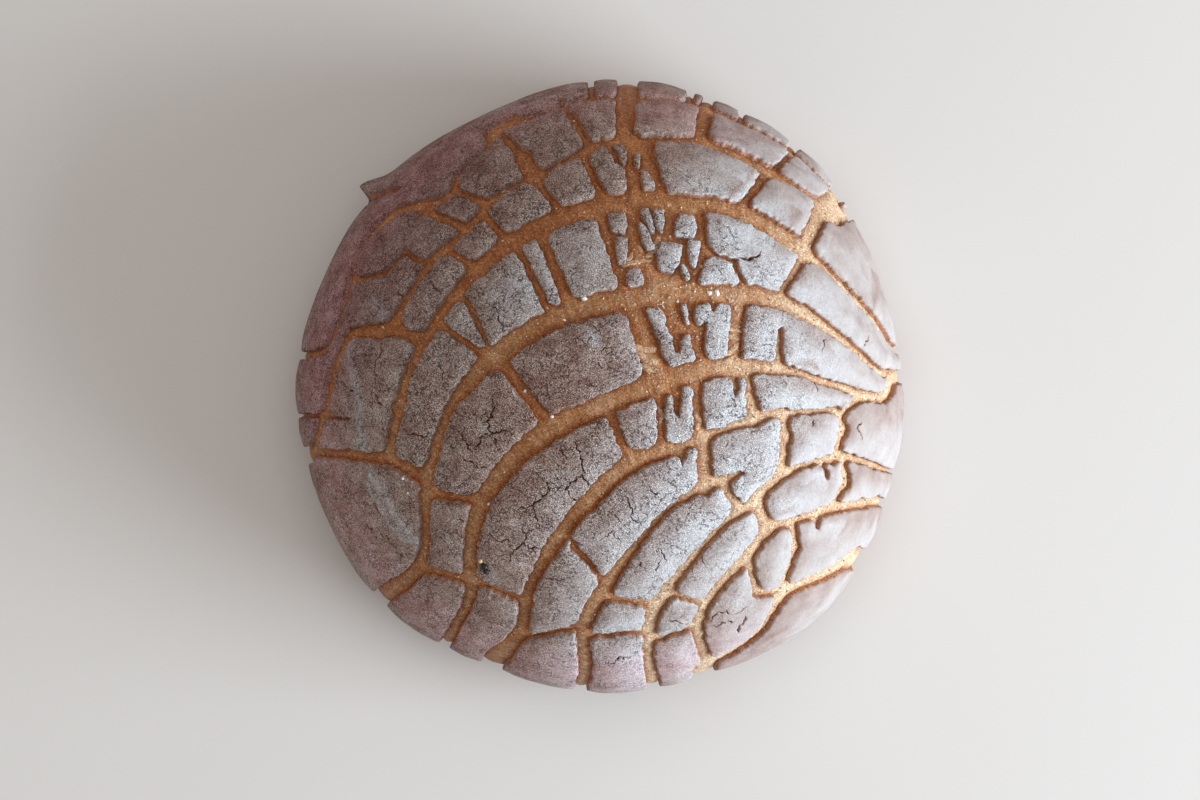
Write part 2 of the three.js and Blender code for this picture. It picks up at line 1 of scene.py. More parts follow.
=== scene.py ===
"""A concha: a domed sweet bun whose scored sugar-paste crust has baked apart into plates.

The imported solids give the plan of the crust. Every plate is rebuilt over its own solid with a
cambered, grainy, cracked top and crumbly sides, and the dough between them is stretched and grainy.
"""
import math

import bpy
import numpy as np
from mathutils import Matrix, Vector, kdtree
from mathutils.geometry import delaunay_2d_cdt


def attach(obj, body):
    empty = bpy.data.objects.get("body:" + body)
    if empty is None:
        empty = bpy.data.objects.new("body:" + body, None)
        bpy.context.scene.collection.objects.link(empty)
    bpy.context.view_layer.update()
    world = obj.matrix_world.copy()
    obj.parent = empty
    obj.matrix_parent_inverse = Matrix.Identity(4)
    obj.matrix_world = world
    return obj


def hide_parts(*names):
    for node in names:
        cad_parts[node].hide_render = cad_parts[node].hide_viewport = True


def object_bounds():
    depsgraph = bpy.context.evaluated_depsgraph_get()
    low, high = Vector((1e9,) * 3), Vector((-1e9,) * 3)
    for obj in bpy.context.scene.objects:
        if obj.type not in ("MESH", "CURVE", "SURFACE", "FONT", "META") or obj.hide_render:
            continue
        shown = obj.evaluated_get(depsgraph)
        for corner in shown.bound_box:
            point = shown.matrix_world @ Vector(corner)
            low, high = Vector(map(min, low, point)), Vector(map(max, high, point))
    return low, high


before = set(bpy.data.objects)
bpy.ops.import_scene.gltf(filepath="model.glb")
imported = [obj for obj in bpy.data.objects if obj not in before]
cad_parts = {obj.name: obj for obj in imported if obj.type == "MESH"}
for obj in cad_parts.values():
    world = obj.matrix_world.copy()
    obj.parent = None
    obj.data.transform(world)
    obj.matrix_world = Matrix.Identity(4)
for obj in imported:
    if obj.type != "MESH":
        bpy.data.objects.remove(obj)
size_at_load = [list(corner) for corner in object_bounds()]
rng = np.random.default_rng(20)

MM = 0.001
BOX_MARGIN = 0.02
BOX_LOW = np.array(size_at_load[0]) / MM + (BOX_MARGIN, BOX_MARGIN, 0)
BOX_HIGH = np.array(size_at_load[1]) / MM - BOX_MARGIN
DEGREE = math.pi / 180

# The dome, in millimetres about the bun's own axis. An angle of 0 is the apex and 90 degrees the
# widest ring. The skin is the dome unrolled flat: a point lies at its angle from the apex times
# DOUGH_RADIUS, and its height is how far it stands off the dough.
DOUGH_RADIUS = 56.0
WIDEST_HEIGHT = 15.0
DOME_RISE = 39.0
BASE_RADIUS = 46.0
LOBES = ((2, 0.3, 80), (3, 1.0, -48), (4, 0.35, -35), (8, 0.4, 0))
CRUST_TOP_RADIUS = DOUGH_RADIUS + 1.9
STEEP = 0.95 * CRUST_TOP_RADIUS
HINGE = np.array([19.5, -53.0])  # where the scores meet, seen from above
BASE_ANGLE = math.pi - math.asin(BASE_RADIUS / DOUGH_RADIUS)
UNDER_RISE = -WIDEST_HEIGHT / math.cos(BASE_ANGLE)


def node_points(node):
    """A CAD node's vertices, in millimetres."""
    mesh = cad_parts[node].data
    points = np.empty(len(mesh.vertices) * 3)
    mesh.vertices.foreach_get("co", points)
    return points.reshape(-1, 3) / MM


BUN_POINTS = node_points("bun")
AXIS = BUN_POINTS[BUN_POINTS[:, 2].argmax()] * (1, 1, 0)


def unit(vectors):
    """The same directions at length 1."""
    return vectors / np.maximum(np.linalg.norm(vectors, axis=-1, keepdims=True), 1e-12)


def polar(points):
    """How far points lie from the middle of their plane, and their headings."""
    x, y = points[..., 0], points[..., 1]
    return np.hypot(x, y), np.arctan2(y, x)


def lobes(heading):
    """How far the uneven bun stands out from a circle, as a share of its radius."""
    waves = (amount * np.cos(count * (heading - start * DEGREE)) for count, amount, start in LOBES)
    return sum(waves) / DOUGH_RADIUS


def dome_normal(angle):
    rise = np.where(angle < math.pi / 2, DOME_RISE, UNDER_RISE)
    return unit(np.stack([rise * np.sin(angle), DOUGH_RADIUS * np.cos(angle)], -1))


def dome_points(angle, heading, height=0):
    """Points in millimetres in the frame, from their angle, heading and height off the dough."""
    rise = np.where(angle < math.pi / 2, DOME_RISE, UNDER_RISE)
    normal = dome_normal(angle)
    swell = 1 + lobes(heading) * np.sin(angle) ** 2
    radius = DOUGH_RADIUS * swell * np.sin(angle) + height * normal[..., 0]
    z = WIDEST_HEIGHT + rise * np.cos(angle) + height * normal[..., 1]
    return np.stack([radius * np.cos(heading), radius * np.sin(heading), z], -1) + AXIS


def from_skin(skin, height=0):
    """Points in the frame from points of the skin."""
    away, heading = polar(skin)
    return dome_points(away / DOUGH_RADIUS, heading, height)


def to_skin(points):
    """The skin point nearest below each point of the frame, and its height off the dough."""
    local = points - AXIS
    radius, heading = polar(local)
    trial = np.linspace(0, BASE_ANGLE, 400)
    profile_radius = DOUGH_RADIUS * np.sin(trial)
    profile_z = WIDEST_HEIGHT + np.where(trial < math.pi / 2, DOME_RISE, UNDER_RISE) * np.cos(trial)
    swell = 1 + lobes(heading)[:, None] * np.sin(trial) ** 2
    away = np.hypot(radius[:, None] - swell * profile_radius, local[:, 2:3] - profile_z)
    angle = trial[away.argmin(1)]
    for _ in range(4):
        foot = dome_points(angle, heading)
        step = 1e-4
        tangent = (dome_points(angle + step, heading) - foot) / step
        angle = angle + ((points - foot) * tangent).sum(1) / (tangent**2).sum(1)
        angle = np.clip(angle, 1e-5, math.pi)
    normal = dome_normal(angle)
    away = points - dome_points(angle, heading)
    outward = away[:, 0] * np.cos(heading) + away[:, 1] * np.sin(heading)
    height = outward * normal[:, 0] + away[:, 2] * normal[:, 1]
    skin = np.stack([np.cos(heading), np.sin(heading)], -1) * (angle * DOUGH_RADIUS)[:, None]
    return skin, height


def skin_scale(skin):
    """Real millimetres for one millimetre of skin, which is stretched towards the rim."""
    angle = np.clip(polar(skin)[0] / DOUGH_RADIUS, 0.01, 3)
    return np.sin(angle) / angle


def plan_to_skin(x, y):
    """The skin point under a place of the crust seen from above, from the bun's axis."""
    heading = np.arctan2(y, x)
    seen = np.hypot(x, y)
    radius = seen / (1 + lobes(heading) * min(seen / CRUST_TOP_RADIUS, 1) ** 2)
    steep_angle = math.asin(STEEP / CRUST_TOP_RADIUS)
    if radius < STEEP:
        angle = math.asin(radius / CRUST_TOP_RADIUS)
    else:
        angle = steep_angle + (radius - STEEP) / (CRUST_TOP_RADIUS * math.cos(steep_angle))
    return np.array([math.cos(heading), math.sin(heading)]) * angle * DOUGH_RADIUS


# --- Noise and small geometry helpers ---
def lattice(cells, seed):
    """A number from -1 to 1 for each whole-number cell."""
    x, y, z = np.moveaxis(cells.astype(np.int64), -1, 0)
    mixed = x * 374761393 + y * 668265263 + z * 1274126177 + seed * 97531
    mixed = (mixed ^ (mixed >> 13)) * 1103515245 & 0x7FFFFFFF
    mixed = (mixed ^ (mixed >> 16)) * 12345701 & 0x7FFFFFFF
    return mixed / 0x3FFFFFFF - 1


def noise(points, size, seed, octaves=1):
    """Smooth noise from about -1 to 1, with lumps of that size in the points' own unit."""
    total = np.zeros(len(points))
    reach = 0
    for octave in range(octaves):
        share = 0.5**octave
        scaled = points / size * 2**octave + 17.3 * octave
        cell = np.floor(scaled)
        part = scaled - cell
        part = part * part * (3 - 2 * part)
        value = 0
        for corner in np.ndindex(2, 2, 2):
            offset = np.array(corner)
            weight = np.where(offset, part, 1 - part).prod(-1)
            value = value + weight * lattice(cell + offset, seed + octave)
        total += share * value
        reach += share
    return total / reach


def flattened(points):
    """Points of a plane, as points in space for noise."""
    return np.column_stack([points, np.zeros(len(points))])


def smoothstep(value, low, high):
    t = np.clip((value - low) / (high - low), 0, 1)
    return t * t * (3 - 2 * t)


def quarter_round(value):
    """Rises from 0 to 1 like a quarter of a circle, and stays at 1."""
    return np.sqrt(1 - (1 - np.clip(value, 0, 1)) ** 2)


def line_tree(line):
    """A search tree over the points of a line on the skin."""
    tree = kdtree.KDTree(len(line))
    for index, point in enumerate(line):
        tree.insert((*point, 0), index)
    tree.balance()
    return tree


def find_nearest(tree, points):
    """The distance to the tree's nearest point from each point, and that point's number."""
    found = [tree.find((u, v, 0)) for u, v in points]
    return np.array([each[2] for each in found]), np.array([each[1] for each in found], int)


def distance_to_line(points, line, closed=False):
    """Distance from each point to a finely sampled line, and the line's nearest point."""
    nearest = find_nearest(line_tree(line), points)[1]
    away = np.full(len(points), np.inf)
    for side in (-1, 1):
        other = nearest + side
        other = other % len(line) if closed else np.clip(other, 0, len(line) - 1)
        start = line[nearest]
        step = line[other] - start
        length = np.maximum((step**2).sum(1), 1e-12)
        along = np.clip(((points - start) * step).sum(1) / length, 0, 1)
        offset = points - start - along[:, None] * step
        away = np.minimum(away, np.sqrt((offset**2).sum(1)))
    return away, nearest


def inside(points, ring):
    """Which points a closed ring encloses."""
    found = np.zeros(len(points), bool)
    box = (points >= ring.min(0)).all(1) & (points <= ring.max(0)).all(1)
    chosen = points[box]
    after = np.roll(ring, -1, 0)
    x, y = chosen[:, 0, None], chosen[:, 1, None]
    crosses = (ring[:, 1] > y) != (after[:, 1] > y)
    rise = np.where(after[:, 1] == ring[:, 1], 1, after[:, 1] - ring[:, 1])
    reach = ring[:, 0] + (y - ring[:, 1]) / rise * (after[:, 0] - ring[:, 0])
    found[box] = (crosses & (x < reach)).sum(1) % 2 == 1
    return found


def well_inside(points, ring, gap):
    """The points that a ring encloses and that lie further from it than a gap."""
    points = points[inside(points, ring)]
    return points[distance_to_line(points, ring, True)[0] > gap]


def hex_points(low, high, spacing, jitter=0.22):
    """A jittered triangular grid that fills a box."""
    rows = np.arange(low[1], high[1], spacing * 0.866)
    columns = np.arange(low[0], high[0], spacing)
    x, y = np.meshgrid(columns, rows)
    x[1::2] += spacing / 2
    points = np.stack([x.ravel(), y.ravel()], -1)
    return points + rng.uniform(-jitter, jitter, points.shape) * spacing


def resample(line, spacing, closed=False):
    """Even steps along a line."""
    if closed:
        line = np.vstack([line, line[:1]])
    lengths = np.concatenate([[0], np.linalg.norm(np.diff(line, axis=0), axis=1).cumsum()])
    count = max(int(lengths[-1] / spacing), 3)
    places = np.linspace(0, lengths[-1], count + 1)
    if closed:
        places = places[:-1]
    return np.stack([np.interp(places, lengths, line[:, k]) for k in range(line.shape[1])], -1)


def divided(ring, step):
    """A closed ring with its corners kept and its long sides cut in parts."""
    parts = []
    for start, end in zip(ring, np.roll(ring, -1, 0)):
        count = max(int(np.linalg.norm(end - start) / step), 1)
        parts.append(start + (end - start) * (np.arange(count) / count)[:, None])
    return np.vstack(parts)


def rounded(ring, times):
    """Cuts the corners of a closed ring."""
    for _ in range(times):
        after = np.roll(ring, -1, 0)
        ring = np.stack([0.75 * ring + 0.25 * after, 0.25 * ring + 0.75 * after], 1).reshape(-1, 2)
    return ring


def ring_normals(ring):
    """Outward directions of an anticlockwise ring."""
    along = np.roll(ring, -1, 0) - np.roll(ring, 1, 0)
    return unit(np.stack([along[:, 1], -along[:, 0]], -1))


def triangulate(points, ring_count):
    """Triangles over points whose first ones are the closed outer ring. Returns them with the
    points that they use, the ring still first."""
    ring = list(range(ring_count))
    made = delaunay_2d_cdt([Vector(p) for p in points], [], [ring], 1, 1e-7, True)
    place = {}
    for index, sources in enumerate(made[3]):
        for source in sources:
            place.setdefault(source, index)
    order = [place[index] for index in ring]
    taken = set(order)
    order += [index for index in range(len(made[0])) if index not in taken]
    new_index = {old: new for new, old in enumerate(order)}
    used = np.array([made[0][index][:] for index in order])
    faces = np.array([[new_index[v] for v in face] for face in made[2] if len(face) == 3])
    return used, faces[inside(used[faces].mean(1), used[:ring_count])]


def mesh_object(name, vertices, faces, attributes, material, smooth=True):
    """An object from points in millimetres, with one number a vertex for each attribute. It is
    kept within the box of the solids."""
    mesh = bpy.data.meshes.new(name)
    vertices = np.clip(vertices, BOX_LOW, BOX_HIGH)
    mesh.from_pydata((vertices * MM).tolist(), [], [list(map(int, face)) for face in faces])
    for key, values in attributes.items():
        values = np.asarray(values, np.float32)
        mesh.attributes.new(key, "FLOAT", "POINT").data.foreach_set("value", values)
    mesh.polygons.foreach_set("use_smooth", [smooth] * len(mesh.polygons))
    mesh.materials.append(material)
    mesh.update()
    made = bpy.data.objects.new(name, mesh)
    bpy.context.scene.collection.objects.link(made)
    return made


# --- Materials ---
class Shading:
    """A new material and short ways to add nodes to it. A socket is either linked to another or
    given a plain number or colour."""

    def __init__(self, name):
        self.material = bpy.data.materials.new(name)
        self.material.use_nodes = True
        self.nodes = self.material.node_tree.nodes

    def fill(self, node, sockets):
        for key, value in sockets.items():
            socket = node.inputs[key]
            if isinstance(value, bpy.types.NodeSocket):
                self.material.node_tree.links.new(value, socket)
            else:
                socket.default_value = (*value, 1) if socket.type == "RGBA" else value
        return node

    def node(self, kind, sockets, **settings):
        node = self.nodes.new("ShaderNode" + kind)
        for key, value in settings.items():
            setattr(node, key, value)
        return self.fill(node, sockets)

    def math(self, operation, first, second):
        return self.node("Math", {0: first, 1: second}, operation=operation).outputs[0]

    def times(self, first, second):
        return self.math("MULTIPLY", first, second)

    def mix(self, factor, first, second, blend="MIX"):
        sockets = {0: factor, 6: first, 7: second}  # the last two are its colours
        return self.node("Mix", sockets, data_type="RGBA", blend_type=blend).outputs[2]

    def ramp(self, factor, *stops):
        """Colours or greys at places from 0 to 1."""
        node = self.node("ValToRGB", {"Fac": factor})
        elements = node.color_ramp.elements
        while len(elements) < len(stops):
            elements.new(0.5)
        for element, (place, color) in zip(elements, stops):
            element.position = place
            element.color = (*color, 1) if isinstance(color, tuple) else (color, color, color, 1)
        return node.outputs["Color"]

    def attribute(self, name):
        return self.node("Attribute", {}, attribute_name=name).outputs["Fac"]

    def place(self):
        return self.node("TexCoord", {}).outputs["Object"]

    def noise(self, scale, detail, roughness=0.55, place=None):
        sockets = {"Scale": scale, "Detail": detail, "Roughness": roughness}
        sockets["Vector"] = place or self.place()
        return self.node("TexNoise", sockets).outputs["Fac"]

    def cells(self, scale):
        """A random number for each grain-sized cell, and the distance to the cell's middle."""
        node = self.node("TexVoronoi", {"Scale": scale, "Vector": self.place()})
        split = self.node("SeparateColor", {0: node.outputs["Color"]})
        return split.outputs[0], node.outputs["Distance"]

    def warped(self, scale, amount):
        """Object coordinates pushed about by a noise."""
        place = self.place()
        push = self.node("TexNoise", {"Scale": scale, "Detail": 2, "Vector": place}).outputs[1]
        centre = (0.5, 0.5, 0.5)
        push = self.node("VectorMath", {0: push, 1: centre}, operation="SUBTRACT").outputs[0]
        push = self.node("VectorMath", {0: push, "Scale": amount}, operation="SCALE").outputs[0]
        return self.node("VectorMath", {0: place, 1: push}).outputs[0]

    def radial(self, along, across):
        """Coordinates that run out from the hinge, so that a noise is stretched that way."""
        split = self.node("SeparateXYZ", {0: self.place()})
        hinge = (HINGE + AXIS[:2]) * MM
        x, y = (self.math("SUBTRACT", split.outputs[k], hinge[k]) for k in (0, 1))
        out = self.math("POWER", self.math("ADD", self.times(x, x), self.times(y, y)), 0.5)
        turn = self.math("ARCTAN2", y, x)
        sockets = {
            0: self.times(out, along), 1: self.times(turn, across),
            2: self.times(split.outputs[2], along),
        }
        return self.node("CombineXYZ", sockets).outputs[0]

    def bump(self, height, distance, strength, normal=None):
        sockets = {"Height": height, "Distance": distance, "Strength": strength}
        if normal:
            sockets["Normal"] = normal
        return self.node("Bump", sockets).outputs["Normal"]

    def finished(self, sockets):
        self.fill(self.nodes["Principled BSDF"], sockets)
        return self.material


# The textures' scales, in lumps to the metre, and the bumps' distances, in metres.
CRUST_MOTTLE, CRUST_PATCHES, CRUST_PITS = 330, 1100, 1500
CRUST_GRAIN, DOUGH_GRAIN = 5200, 3900
CRAQUELURE, CRAQUELURE_WARP, WARP_REACH = 640, 1700, 0.0013
CRAQUELURE_AREAS, CRAQUELURE_BREAKS = 260, 2600
FIBRES_OUT, FIBRES_AROUND = 350, 100
DOUGH_MOTTLE, DOUGH_PITS = 300, 1100
GRAIN_BUMP, PIT_BUMP = 0.00012, 0.00020
DOUGH_GRAIN_BUMP, FIBRE_BUMP, DOUGH_PIT_BUMP = 0.00014, 0.00032, 0.00035

# The sugar's bluish white, which also paints light on the crust's lit side.
FROST_AND_LIGHT = (0.612, 0.645, 0.674)
# A darker, pinker tint: painted shade with a painted pink reflection, on the quarter away from the
# light.
PINK_SHADE_TINT = (0.80, 0.66, 0.70)
# A brighter pink tint: painted light on the shoulder of the bun's left half.
PINK_PAINTED_LIGHT = (1.26, 1.06, 1.14)
HAIRLINE = (0.07, 0.034, 0.022)
# Orange brown of broken crust edges, also used as painted shade on shaded walls and in cracks.
BROKEN_EDGE_AND_SHADE = (0.62, 0.27, 0.11)
# Near black: painted shade down in the cracks.
CRACK_SHADE = (0.075, 0.034, 0.020)
# Cream of stretched dough, also used as painted light on the dough's lit side.
CREAM_AND_PAINTED_LIGHT = (0.90, 0.71, 0.49)


def crust_material():
    """Dry sugar paste: greyish cocoa brown, mottled with whitish sugar and painted light, with
    painted shade in its cracks and hollows, pitted and grainy.
    """
    m = Shading("sugar_crust")
    grainy = m.attribute("grainy")
    mottle = m.noise(CRUST_MOTTLE, 5, 0.45)
    # Tone, which holds painted light and shade, shifts the base colour.
    base = m.ramp(
        m.math("ADD", mottle, m.times(m.attribute("tone"), 0.08)),
        (0.24, (0.232, 0.139, 0.107)), (0.41, (0.304, 0.209, 0.173)),
        (0.59, (0.360, 0.274, 0.236)), (0.76, (0.415, 0.350, 0.321)))
    shade, from_middle = m.cells(CRUST_GRAIN)
    grain = m.math("ADD", m.math("SUBTRACT", m.times(shade, 0.55), from_middle), 0.72)
    grain_tone = m.ramp(
        grain, (0.0, (0.16, 0.12, 0.10)), (0.28, (0.60, 0.55, 0.53)), (0.5, (1.0, 0.99, 0.99)),
        (0.74, (1.42, 1.48, 1.54)), (1.0, (2.6, 2.9, 3.2)))
    color = m.mix(grainy, base, grain_tone, "MULTIPLY")
    patchy = m.ramp(m.noise(CRUST_PATCHES, 5, 0.75), (0.36, 0.78), (0.60, 1))
    frost_and_light = m.mix(m.times(grainy, 0.5), FROST_AND_LIGHT, grain_tone, "MULTIPLY")
    # Whitish sugar and painted light: the crust's lit side and its sugared patches are mixed
    # towards white.
    color = m.mix(m.times(m.attribute("bloom_and_painted_light"), patchy), color, frost_and_light)
    # Painted shade, pinker, away from the light; then painted pink light on the left shoulder.
    color = m.mix(m.attribute("painted_pink_shade"), color, PINK_SHADE_TINT, "MULTIPLY")
    color = m.mix(m.attribute("rim"), color, PINK_PAINTED_LIGHT, "MULTIPLY")
    sockets = {"Scale": CRAQUELURE, "Vector": m.warped(CRAQUELURE_WARP, WARP_REACH)}
    net = m.node("TexVoronoi", sockets, feature="DISTANCE_TO_EDGE")
    lines = m.ramp(net.outputs["Distance"], (0.035, 1), (0.10, 0))
    areas = m.ramp(m.noise(CRAQUELURE_AREAS, 2), (0.44, 0), (0.53, 1))
    breaks = m.ramp(m.noise(CRAQUELURE_BREAKS, 1), (0.46, 0), (0.54, 1))
    hairlines = m.times(m.times(m.times(lines, areas), breaks), grainy)
    color = m.mix(m.times(hairlines, 0.85), color, HAIRLINE)
    # Painted shade in the hollows: shaded walls, cracks and crumbled edges turn orange brown.
    color = m.mix(m.attribute("wear_and_painted_shade"), color, m.mix(0.5, BROKEN_EDGE_AND_SHADE, grain_tone, "MULTIPLY"))
    # Painted shade: near black down in the shallow cracks.
    color = m.mix(m.attribute("crack"), color, CRACK_SHADE)
    relief = m.math("SUBTRACT", m.times(grain, grainy), m.times(hairlines, 2.0))
    normal = m.bump(relief, GRAIN_BUMP, 0.8)
    normal = m.bump(m.noise(CRUST_PITS, 4, 0.6), PIT_BUMP, 0.7, normal)
    looks = {"Base Color": color, "Roughness": 0.85, "Specular IOR Level": 0.3, "Normal": normal}
    return m.finished(looks)


def dough_material():
    """Baked dough: golden, browner where it meets the crust, with painted shade there too, and
    creamy where it stretched and with painted light on its lit side.
    """
    m = Shading("baked_dough")
    fibres = m.noise(1.0, 4, 0.6, m.radial(FIBRES_OUT, FIBRES_AROUND))
    mottle = m.math("ADD", m.times(m.noise(DOUGH_MOTTLE, 5, 0.65), 0.5), m.times(fibres, 0.5))
    base = m.ramp(
        mottle, (0.34, (0.315, 0.115, 0.035)), (0.47, (0.400, 0.172, 0.063)),
        (0.56, (0.465, 0.230, 0.095)), (0.70, (0.570, 0.335, 0.165)))
    # The darker colour beside the crust: real browning, and painted shade.
    deep = m.ramp(mottle, (0.40, (0.330, 0.095, 0.026)), (0.60, (0.500, 0.180, 0.058)))
    # Creamier where stretched, and painted light on the lit side.
    color = m.mix(m.attribute("stretch_and_painted_light"), base, CREAM_AND_PAINTED_LIGHT)
    color = m.mix(m.times(m.attribute("contact_browning_and_shade"), 0.75), color, deep)
    shade, from_middle = m.cells(DOUGH_GRAIN)
    tone = m.ramp(
        shade, (0.0, (0.42, 0.33, 0.26)), (0.25, (0.82, 0.78, 0.74)), (0.7, 1.08),
        (1.0, (1.9, 2.1, 2.3)))
    color = m.mix(0.65, color, tone, "MULTIPLY")
    normal = m.bump(m.math("SUBTRACT", m.times(shade, 0.6), from_middle), DOUGH_GRAIN_BUMP, 0.8)
    normal = m.bump(fibres, FIBRE_BUMP, 0.7, normal)
    normal = m.bump(m.noise(DOUGH_PITS, 4, 0.65), DOUGH_PIT_BUMP, 0.6, normal)
    looks = {"Base Color": color, "Roughness": 0.6, "Specular IOR Level": 0.35, "Normal": normal}
    return m.finished(looks)


def plain_material(name, color, roughness):
    """One colour with a fine variation."""
    m = Shading(name)
    tone = m.noise(900, 3)
    low, high = (tuple(min(part * share, 1) for part in color) for share in (0.85, 1.15))
    color = m.ramp(tone, (0.3, low), (0.7, high))
    normal = m.bump(tone, 0.00015, 0.6)
    return m.finished({"Base Color": color, "Roughness": roughness, "Normal": normal})


CRUST = crust_material()
DOUGH = dough_material()
SUGAR = plain_material("sugar_grain", (0.78, 0.72, 0.63), 0.35)
LUMP = plain_material("sugar_lump", (0.86, 0.87, 0.88), 0.3)
CRUMB = plain_material("crust_crumb", (0.50, 0.34, 0.23), 0.85)
SPECK = plain_material("burnt_speck", (0.012, 0.012, 0.014), 0.4)
YOLK = plain_material("yellow_crumb", (0.72, 0.58, 0.26), 0.6)

# --- The crust's plan, from the solids ---
TOP_HEIGHT = 1.2  # what faces outwards above this is the top of a piece of crust


def top_outlines(node):
    """The anticlockwise outlines, on the skin, of a node's flat tops."""
    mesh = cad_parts[node].data
    points = node_points(node)
    keys, merged = np.unique(np.round(points, 3), axis=0, return_inverse=True)
    merged = merged.ravel()
    skin, height = to_skin(keys)
    mesh.calc_loop_triangles()
    triangles = np.empty(len(mesh.loop_triangles) * 3, np.int64)
    mesh.loop_triangles.foreach_get("vertices", triangles)
    triangles = merged[triangles.reshape(-1, 3)]
    corners = keys[triangles]
    facing = unit(np.cross(corners[:, 1] - corners[:, 0], corners[:, 2] - corners[:, 0]))
    middle = to_skin(corners.mean(1))[0]
    lift = from_skin(middle, 1) - from_skin(middle)
    is_top = (height[triangles].min(1) > TOP_HEIGHT) & ((facing * lift).sum(1) > 0.6)
    edges = dict.fromkeys(
        (int(row[k]), int(row[(k + 1) % 3])) for row in triangles[is_top] for k in range(3))
    after = {a: b for a, b in edges if (b, a) not in edges}
    outlines = []
    while after:
        first, current = after.popitem()
        loop = [first]
        while current != first and current in after:
            loop.append(current)
            current = after.pop(current)
        if len(loop) > 3:
            outlines.append(skin[loop])
    return outlines


def ring_area(ring):
    after = np.roll(ring, -1, 0)
    return 0.5 * (ring[:, 0] * after[:, 1] - after[:, 0] * ring[:, 1]).sum()


RAGGED = ((2.4, 0.09), (0.6, 0.06))  # (lump, amount) in mm along the plates' broken edges
BITES = (0.8, 0.2)  # lumps that crumbled off an edge, and how deep
CORNER_STEP = 0.75
CHIP_STEP = 0.36
CHIP_DEPTH = 0.10
RING_STEP = 0.25


def ragged_ring(outline, seed, bite=1.0, grow=0.0, softness=1):
    """A plate's outline with slightly soft corners and crumbled edges."""
    ring = outline if ring_area(outline) > 0 else outline[::-1]
    scale = skin_scale(ring.mean(0))
    ring = rounded(divided(ring, CORNER_STEP / scale), softness)
    ring = resample(ring, CHIP_STEP / scale, closed=True)
    ring = ring + ring_normals(ring) * rng.uniform(-CHIP_DEPTH, CHIP_DEPTH, (len(ring), 1)) / scale
    ring = resample(ring, RING_STEP / scale, closed=True)
    normals = ring_normals(ring)
    flat = flattened(ring * scale)
    for lump, amount in RAGGED:
        ring = ring + normals * (noise(flat, lump, seed) * amount / scale)[:, None]
    bites = smoothstep(noise(flat, BITES[0], seed + 40), 0.22, 0.5) * BITES[1] * bite
    return ring + normals * ((grow - bites) / scale)[:, None]


plates = {}
for node in sorted(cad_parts):
    if node != "bun":
        largest = max(top_outlines(node), key=lambda outline: abs(ring_area(outline)))
        plates[node] = ragged_ring(largest, len(plates))
shards = [ragged_ring(outline, 100 + number, bite=0.4, grow=0.2, softness=0)
          for number, outline in enumerate(top_outlines("bun"))]
ALL_RINGS = [*plates.values(), *shards]


def under_crust(points):
    """Which points of the skin lie under a piece of crust."""
    covered = np.zeros(len(points), bool)
    for ring in ALL_RINGS:
        covered |= inside(points, ring)
    return covered


